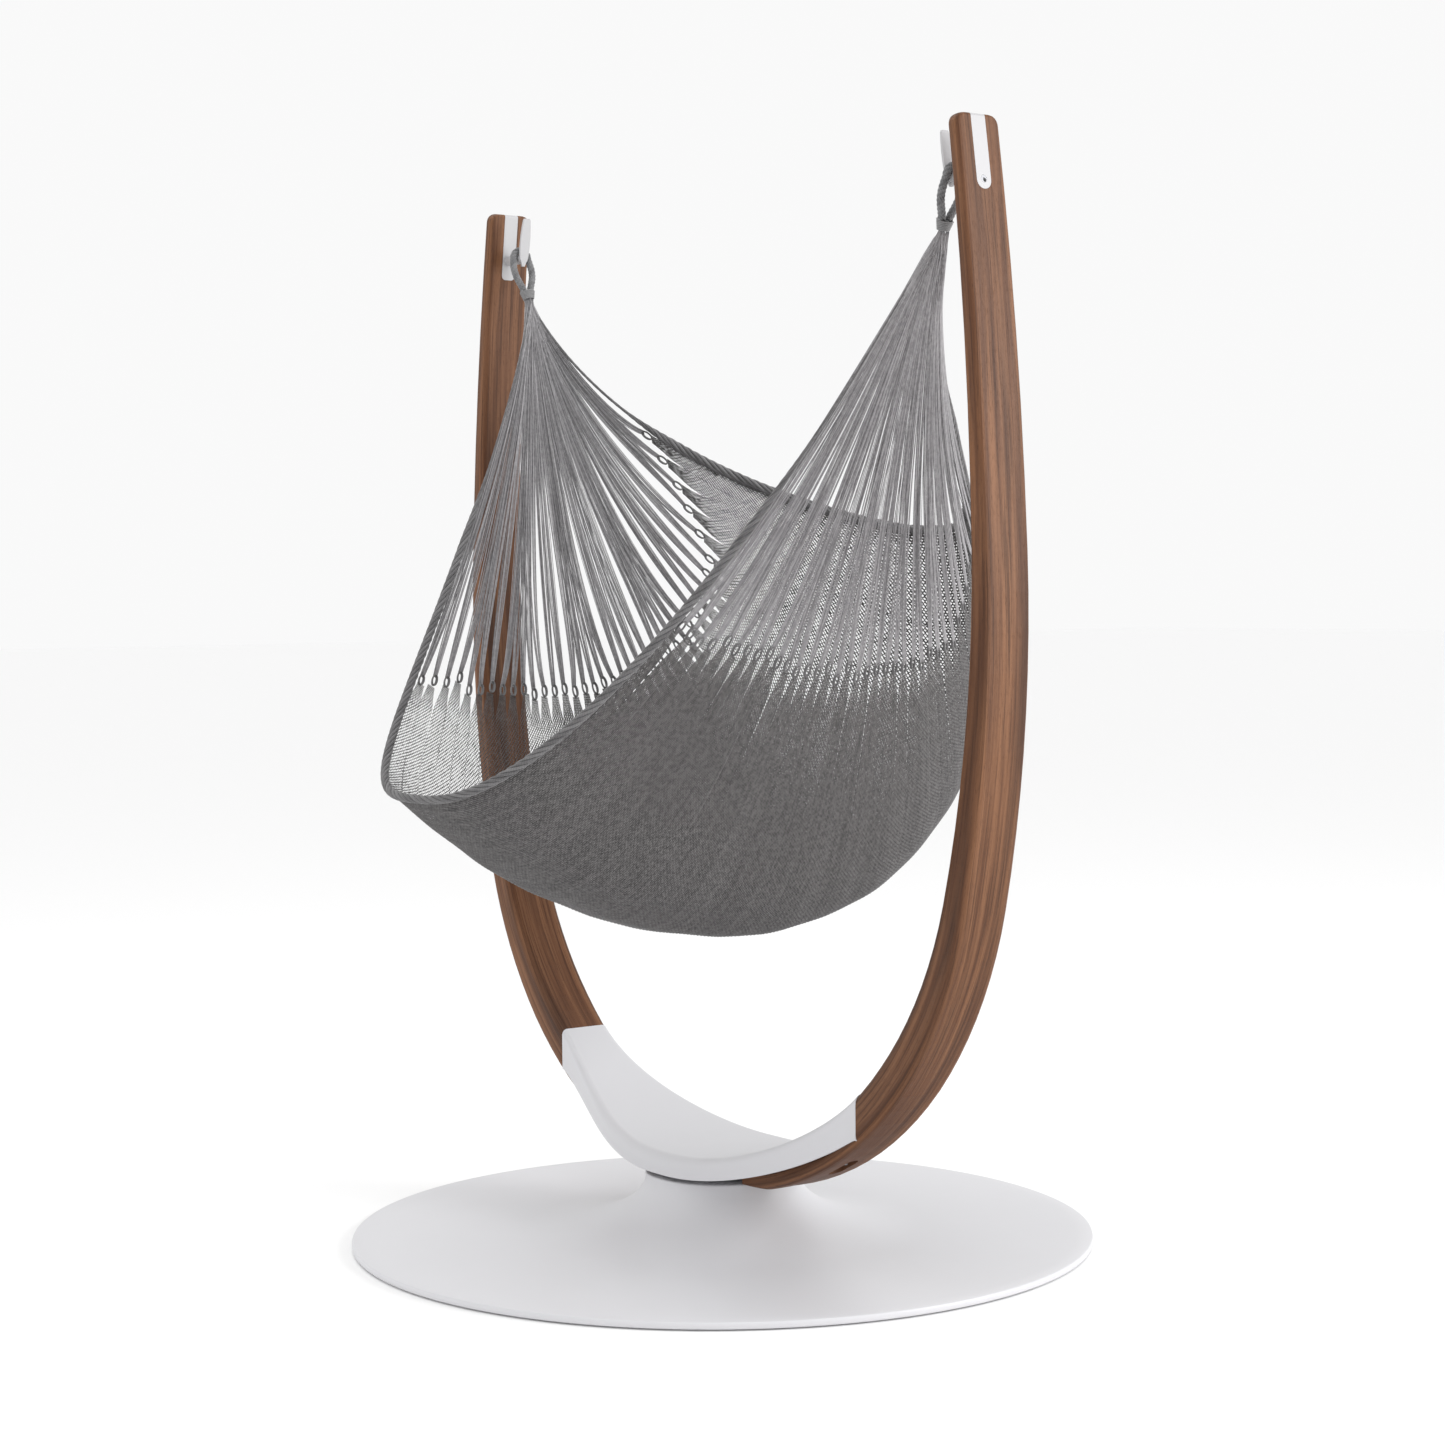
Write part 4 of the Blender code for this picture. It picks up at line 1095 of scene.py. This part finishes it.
    def closeness(self, v: Array, u: Array) -> Array:
        """How closed the net is, as cord width over cord spacing.

        It is slack and closed under the sitter, pulled open in front on the left, half open
        behind on the left, where the far side of the net stands upright, and a little open on the
        right. Each part comes and goes by smooth steps in both numbers.

        Args:
            v: The `across` of the points.
            u: Their `along`.

        Returns:
            1 where neighbours just touch, more where they overlap.
        """
        front = ease((0.46 - v) / 0.24) * ease((0.14 - u) / 0.48)
        behind = ease((v - 0.58) / 0.16) * ease((0.45 - u) / 0.75) * ease((1.01 - v) / 0.03)
        right = ease((u - 0.30) / 0.30)
        return self.cover - 0.60 * front - 0.56 * behind - 0.20 * right

    def cord_girth(self, v: Array, u: Array, spread: Array) -> Array:
        """Half widths of the bed's cords.

        A half width is half the cord spacing times the closeness, uneven by 7 % where the net is
        closed and by more where it is open.

        Args:
            v: The `across` of the cords' points.
            u: Their `along`.
            spread: How far each bundle has spread there, from 0 to 1.

        Returns:
            Metres.
        """
        step = self.surface.step
        low, high = np.clip(v - step, 0, 1), np.clip(v + step, 0, 1)
        gap = np.linalg.norm(self.surface.point(high, u) - self.surface.point(low, u), axis=-1)
        cords = self.bundles * self.cords_per_bundle
        spacing = gap / (high - low) * (1 - 2 * self.margin) / cords
        close = self.closeness(v, u)
        uneven = np.random.default_rng(8).normal(0, 1, v.shape) * (0.07 + 0.38 * ease(1.1 - close))
        return np.clip(0.5 * close * spacing * spread * (1.0 + uneven), self.slimmest, self.widest)

    def declare(self, lines: Array) -> None:
        """Work out the flat size that a panel's cords span; nothing is done with it.

        The area is that of the quads between neighbouring cords, the length that of the longest
        cord, both from every sixth point, and the width is taken across the middle.

        Args:
            lines: (cords, points, 3) lines of its cords.
        """
        rows = lines[:, ::self.measured_every]
        a, b, c, d = rows[:-1, :-1], rows[1:, :-1], rows[1:, 1:], rows[:-1, 1:]
        area = 0.5 * np.linalg.norm(np.cross(c - a, d - b), axis=-1).sum()
        width = np.linalg.norm(np.diff(lines[:, lines.shape[1] // 2], axis=0), axis=-1).sum()
        length = float(np.linalg.norm(np.diff(rows, axis=1), axis=-1).sum(1).max())
        width = max(float(width), float(area) / length)

    def build_strings(self, side: Side) -> list[bpy.types.Object]:
        """Make one fan of end strings and the loops that end its bundles.

        Neighbouring bundles are drawn together in clumps half way up. The strings of a bundle lie
        side by side, bow out a little and gather into a round neck over the last fifth.

        Args:
            side: The end of the hammock.

        Returns:
            The fan and the loops.
        """
        rng = np.random.default_rng(40 + side.value)
        knots = self.bundle_across()
        reach = self.knot_reach(knots, side)
        tip = self.surface.knot_along(knots, side, reach)
        count = self.string_points
        t = np.linspace(0.0, 1.0, count)
        u = tip[:, None] + (side.value * 0.9997 - tip[:, None]) * t[None]
        clump = np.cumsum(rng.random(self.bundles) < self.clump_share)
        centre = np.bincount(clump, knots) / np.maximum(np.bincount(clump), 1)
        drawn = (centre[clump] - knots)[:, None] * 0.42 * np.sin(math.pi * t[None] ** 0.8)
        lane = np.clip(knots[:, None] + drawn, 0.0, 1.0)
        shape = (self.bundles, self.strands, count)
        spread = (np.arange(self.strands) / (self.strands - 1) - 0.5)[None, :, None]
        line = self.surface.point(lane, u)
        across = unit(self.surface.point(lane + 0.004, u) - line)
        normal = self.surface.normal(lane, u)
        fanned = (0.0046 + 0.0060 * np.sin(math.pi * t) ** 0.9) * (1 - t) ** 0.35
        slack = np.sin(math.pi * t)[None, None]
        wobble = rng.normal(0, 1, (self.bundles, self.strands, 1)) * slack
        bow = rng.gamma(2.0, 1.0, (self.bundles, self.strands, 1)) * slack
        gather = 0.0075 * ease((t - 0.80) / 0.20)[None, None]
        disc = rng.random((self.bundles, self.strands, 2, 1)) * 2 - 1
        paths = np.broadcast_to(line[:, None], (*shape, 3)).copy()
        side_shift = spread * fanned[None, None] * 1.9 + 0.0011 * wobble + gather * disc[:, :, 0]
        out_shift = 0.0014 * bow - 0.0016 + gather * disc[:, :, 1]
        paths += across[:, None] * side_shift[..., None] + normal[:, None] * out_shift[..., None]
        fan = Tubes(f"end_string_fan_{side.word}", paths.reshape(-1, count, 3),
                    self.strand_radius,
                    np.broadcast_to(normal[:, None], (*shape, 3)).reshape(-1, count, 3),
                    self.strings, sides=4, seed=60 + side.value).build()
        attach(fan, Body.HAMMOCK.value)
        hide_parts(f"end_strings_{side.word}")
        return [fan, self.build_eyes(side, knots, reach)]

    def build_eyes(self, side: Side, knots: Array, reach: Array) -> bpy.types.Object:
        """Make the looped ends of the bundles.

        A loop is an ellipse of the eye's length along the string, drawn twice, the second time a
        little wider and on the other side of the net.

        Args:
            side: The end of the hammock.
            knots: The `across` of the bundles.
            reach: Metres from the whipping to each knot.

        Returns:
            The loops, in one piece.
        """
        head = self.surface.knot_along(knots, side, reach - 0.004)
        foot = self.surface.knot_along(knots, side, reach + self.eye_length)
        top, low = self.surface.point(knots, head), self.surface.point(knots, foot)
        middle, along = (top + low) / 2, (low - top) / 2
        normal = self.surface.normal(knots, head)
        flat = unit(np.cross(along, normal))
        turn = np.linspace(0, math.tau, self.loop_points)[None, :, None]
        rings = []
        for shift, width in ((-0.0011, 0.0046), (0.0011, 0.0056)):
            rings.append(middle[:, None] + along[:, None] * np.cos(turn)
                         + flat[:, None] * np.sin(turn) * width + normal[:, None] * shift)
        paths = np.concatenate(rings)
        starts = np.concatenate([normal, normal])[:, None]
        eyes = Tubes(f"string_loops_{side.word}", paths, self.loop_radius,
                     np.broadcast_to(starts, paths.shape), self.edge, sides=5,
                     seed=70 + side.value).build()
        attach(eyes, Body.HAMMOCK.value)
        return eyes

    def build_edges(self) -> list[bpy.types.Object]:
        """Make the two edge cords: loosely twisted strands from one whipping to the other.

        A cord is thin along the end strings and swells where the net is rolled into it.

        Returns:
            The front cord and the back one.
        """
        made = []
        for name, node, across, girth in (("front_rolled_edge", "front_edge_cord", 0.0, 1.3),
                                          ("back_rolled_edge", "back_edge_cord", 1.0, 1.55)):
            u = np.sin(np.linspace(-math.pi / 2, math.pi / 2, 900)) * 0.996
            path = resampled(self.surface.point(np.full(u.shape, across), u), 560)
            middle = np.abs(np.linspace(-1, 1, len(path)))
            fat = girth * (0.0012 + 0.0030 * ease((0.72 - middle) / 0.16))
            sides = np.array([0.0, 1.0, 0.25])
            lines, out = twisted(path, sides, 6, fat, 0.115)
            strand = np.broadcast_to(fat * 0.52, lines.shape[:2])
            piece = Tubes(name, lines, strand, out,
                          self.edge, sides=6, seed=80).build()
            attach(piece, Body.HAMMOCK.value)
            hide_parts(node)
            made.append(piece)
        return made

    def build(self) -> None:
        """Make the whole hammock, and work out each panel's flat size."""
        bed = self.build_bed()
        fans = [piece for side in Side for piece in self.build_strings(side)]
        front, back = self.build_edges()
        fittings = {0: [front], self.panels // 2: fans, self.panels - 1: [back]}
        for number, (piece, lines) in enumerate(bed):
            self.declare(lines)


@dataclass
class RopeEye:
    """One rope eye over its hook, and the whipping that gathers the strings under it."""

    side: Side
    rope: bpy.types.Material
    thread: bpy.types.Material
    seat_x: float = 0.687865
    hook_z: float = 1.9145
    rod_radius: float = 0.010
    rope_radius: float = 0.0073
    drop: float = 0.087
    inset: float = 0.0309
    whipping: float = 0.018
    bulge: float = 0.0045
    play: float = 0.0003           # gap between two touching round pieces
    rope_lay: float = 0.030
    strand_offset: float = 0.0036
    strand_radius: float = 0.0037
    neck_girth: float = 0.0098     # from the hammock's axis to the thread, at the low end
    neck_swell: float = 0.0046     # what is added to it at the high end
    thread_radius: float = 0.0015
    thread_pitch: float = 0.0028
    thread_points: int = 400

    def route(self) -> Array:
        """The eye's centre line: up one leg, over the rod and down the other leg.

        Over the rod it is a half circle. A leg closes in from the circle's width to the rope's own
        by a half cosine wave, and bulges out by a half sine wave.

        Returns:
            (points, 3) line.
        """
        bend = self.rod_radius + self.play + self.rope_radius
        leg = self.rope_radius + self.play
        fall_length = self.drop - self.whipping
        angle = np.linspace(math.pi, 0, 25)
        arc = np.stack([bend * np.cos(angle), bend * np.sin(angle)], -1)
        t = np.linspace(0, 1, 20)[1:]
        fall = np.stack([leg + (bend - leg) * (0.5 + 0.5 * np.cos(math.pi * t ** 1.7))
                         + self.bulge * np.sin(math.pi * t), -fall_length * t], -1)
        up = fall[::-1] * np.array([-1.0, 1.0])
        y, z = np.concatenate([up, arc, fall]).T
        x = self.side.value * (self.seat_x + self.inset / self.drop * np.minimum(0, z))
        return resampled(np.stack([x, y, self.hook_z + z], -1), 150)

    def build(self) -> None:
        """Make the laid rope of four strands, and its whipping of one thread wound round."""
        path = self.route()
        lines, out = twisted(path, np.array([1.0, 0.0, 0.0]), 4, self.strand_offset,
                             self.rope_lay)
        eye = Tubes(f"laid_rope_eye_{self.side.word}", lines, self.strand_radius, out, self.rope,
                    sides=9, seed=5).build()
        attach(eye, Body.HAMMOCK.value)
        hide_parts(f"rope_eye_{self.side.word}")
        slope = self.inset / self.drop
        high = np.array([self.side.value * (self.seat_x - slope * (self.drop - self.whipping)), 0,
                         self.hook_z - self.drop + self.whipping])
        low = np.array([self.side.value * (self.seat_x - self.inset), 0, self.hook_z - self.drop])
        core = low + (high - low) * np.linspace(0.02, 0.98, self.thread_points)[:, None]
        girth = self.neck_girth + self.neck_swell * np.linspace(0, 1, self.thread_points)
        lines, out = twisted(core, np.array([0.0, 1.0, 0.0]), 1, girth, self.thread_pitch)
        wrap = Tubes(f"wound_whipping_{self.side.word}", lines, self.thread_radius, out,
                     self.thread, sides=6, seed=6).build()
        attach(wrap, Body.HAMMOCK.value)
        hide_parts(f"whipping_{self.side.word}")


# ------------------------------------------------------------------------------ fittings
@dataclass
class Fittings:
    """Finishes of the CAD nodes that are shown as they are."""

    coat: bpy.types.Material
    bracket_coat: bpy.types.Material
    finishes: dict[str, bpy.types.Material]
    # size of the dark hexagon of painted shade on a strap screw's head
    socket_radius: float = 0.0034
    socket_proud: float = 0.0002
    socket_depth: float = 0.0003

    def finish_of(self, name: str, slot: str) -> bpy.types.Material:
        """The material for a node, by its name and by its slot in the record."""
        if name.startswith("hook_bracket"):
            return self.bracket_coat
        return self.coat if slot == "white_coat" else self.finishes[slot]

    def build_socket_shade(self, side: Side) -> None:
        """Make a dark hexagon of painted shade where the hex socket sits in the head of a strap
        screw.

        The screw's axis is the first principal direction of its points, and the head is the end
        farther from the middle of the stand.

        Args:
            side: The arm that the screw is in.
        """
        screw = frame["nodes"][f"bracket_screw_{side.word}"]
        points = np.array([screw.matrix_world @ corner.co for corner in screw.data.vertices])
        axis = np.linalg.svd(points - points.mean(0), full_matrices=False)[2][0]
        axis = axis * np.sign(axis[0]) * side.value
        reach = points @ axis
        centre = points[reach > reach.max() - 1e-4].mean(0) + axis * self.socket_proud
        first = unit(np.cross(axis, [0.0, 1.0, 0.0]))
        second = np.cross(axis, first)
        turn = (np.arange(6) + 0.5)[:, None] * math.tau / 6
        ring = centre + self.socket_radius * (np.cos(turn) * first + np.sin(turn) * second)
        points = np.concatenate([ring, ring - axis * self.socket_depth])
        # painted shade: a thin dark hexagon just proud of the head stands for the shade down in the
        # hex socket
        socket = mesh_object(f"painted_socket_shade_{side.word}", points,
                             grid_quads(2, 6, wrap=True), self.finishes["rubber"],
                             np.stack([np.arange(6), np.arange(11, 5, -1)]), smooth=False)
        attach(socket, Body.CRADLE.value)

    def build(self) -> None:
        """Give every other CAD node its finish, and the strap screws the painted shade of their
        sockets.
        """
        for side in Side:
            self.build_socket_shade(side)
        slots = {row["node"]: row["material_slot"] for row in frame["record"]["subparts"]}
        dressed_elsewhere = {"timber", "net", "rope"}
        for name, node in frame["nodes"].items():
            if slots[name] not in dressed_elsewhere:
                node.data.materials.clear()
                node.data.materials.append(self.finish_of(name, slots[name]))


# ------------------------------------------------------------------------------ studio
@dataclass
class Studio:
    """Floor, lights and camera."""

    paper: bpy.types.Material
    camera_at: tuple[float, float, float] = (4.29718, -3.09708, 1.22175)
    forward: tuple[float, float, float] = (-0.80958, 0.58518, -0.04618)
    up: tuple[float, float, float] = (-0.03279, 0.03346, 0.99890)
    lens: float = 70.0
    sensor: float = 36.0
    floor_reach: float = 60.0
    sky: float = 0.95

    def build_camera(self) -> None:
        """Make the camera and let the scene use it."""
        data = bpy.data.cameras.new("camera")
        data.lens = self.lens
        data.sensor_width = self.sensor
        data.clip_end = 200.0
        camera = bpy.data.objects.new("camera", data)
        bpy.context.scene.collection.objects.link(camera)
        back = -Vector(self.forward).normalized()
        right = Vector(self.up).cross(back).normalized()
        up = back.cross(right)
        turn = Matrix((right, up, back)).transposed().to_4x4()
        camera.matrix_world = Matrix.Translation(self.camera_at) @ turn
        bpy.context.scene.camera = camera

    def build_floor(self) -> None:
        """Make the wide pale floor."""
        size = self.floor_reach
        points = np.array([[-size, -size, 0], [size, -size, 0], [size, size, 0],
                           [-size, size, 0]], float)
        floor = mesh_object("floor", points, np.array([[0, 1, 2, 3]]), self.paper)
        floor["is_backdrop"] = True

    def add_light(self, name: str, place: Sequence[float], target: Sequence[float],
                  size: float, power: float) -> None:
        """Add a square soft light.

        Args:
            name: The light's name.
            place: Where it stands.
            target: The point it faces.
            size: Its edge.
            power: Watts.
        """
        data = bpy.data.lights.new(name, "AREA")
        data.size = size
        data.energy = power
        light = bpy.data.objects.new(name, data)
        bpy.context.scene.collection.objects.link(light)
        away = Vector(place) - Vector(target)
        light.matrix_world = (Matrix.Translation(place)
                              @ away.to_track_quat("Z", "Y").to_matrix().to_4x4())

    def build(self) -> None:
        """Make the floor, the sky light and the two soft lights."""
        self.build_floor()
        world = bpy.data.worlds.new("studio")
        bpy.context.scene.world = world
        world.use_nodes = True
        background = world.node_tree.nodes["Background"]
        background.inputs["Color"].default_value = (1.0, 1.0, 1.0, 1.0)
        background.inputs["Strength"].default_value = self.sky
        bpy.context.scene.view_settings.view_transform = "Standard"
        self.add_light("key", (4.6, 3.4, 2.6), (0.0, 0.0, 1.0), 3.0, 190.0)
        self.add_light("top", (-1.0, -1.0, 5.0), (0.0, 0.0, 0.5), 3.0, 40.0)


def main() -> None:
    """Build every sub-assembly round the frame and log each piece."""
    logging.basicConfig(level=logging.INFO, format="%(name)s: %(message)s")
    studio = Studio(Paper().build())
    studio.build_camera()
    coat = PowderCoat().build()
    rope = Twine("laid_rope", (0.09, 0.09, 0.093), (0.27, 0.27, 0.275), 0.006, 0.0006).build()
    thread = Twine("whipping_twine", (0.16, 0.16, 0.162), (0.34, 0.336, 0.34), 0.004).build()
    net = Twine("net_twine", (0.019, 0.018, 0.018), (0.176, 0.167, 0.166), 0.005,
                own=0.22).build()
    strings = Twine("end_string_twine", (0.10, 0.096, 0.100), (0.56, 0.545, 0.560), 0.004).build()
    edge = Twine("edge_twine", (0.09, 0.087, 0.089), (0.24, 0.235, 0.238), 0.009).build()
    for side in Side:
        RopeEye(side, rope, thread).build()
    Hammock(net, strings, edge).build()
    Base(coat).build()
    Saddle(coat).build()
    Arms(Timber().build()).build()
    Fittings(coat, PowderCoat("bracket_coat", (0.50, 0.495, 0.505)).build(), {
        "zinc": Metal("zinc_plate", (0.60, 0.61, 0.63), 0.36).build(),
        "bright_steel": Metal("bright_steel", (0.20, 0.20, 0.21), 0.34).build(),
        "raw_steel": Metal("primed_steel", (0.20, 0.20, 0.21), 0.52).build(),
        "brass": Metal("turned_brass", (0.66, 0.50, 0.24), 0.30).build(),
        "bearing_polymer": Moulded("bearing_polymer", (0.05, 0.05, 0.055), 0.45).build(),
        "rubber": Moulded("pad_rubber", (0.025, 0.025, 0.025), 0.80).build(),
    }).build()
    studio.build()
    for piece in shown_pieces():
        LOG.info("%s: %d faces", piece.name, len(piece.data.polygons))


if __name__ == "__main__":
    main()
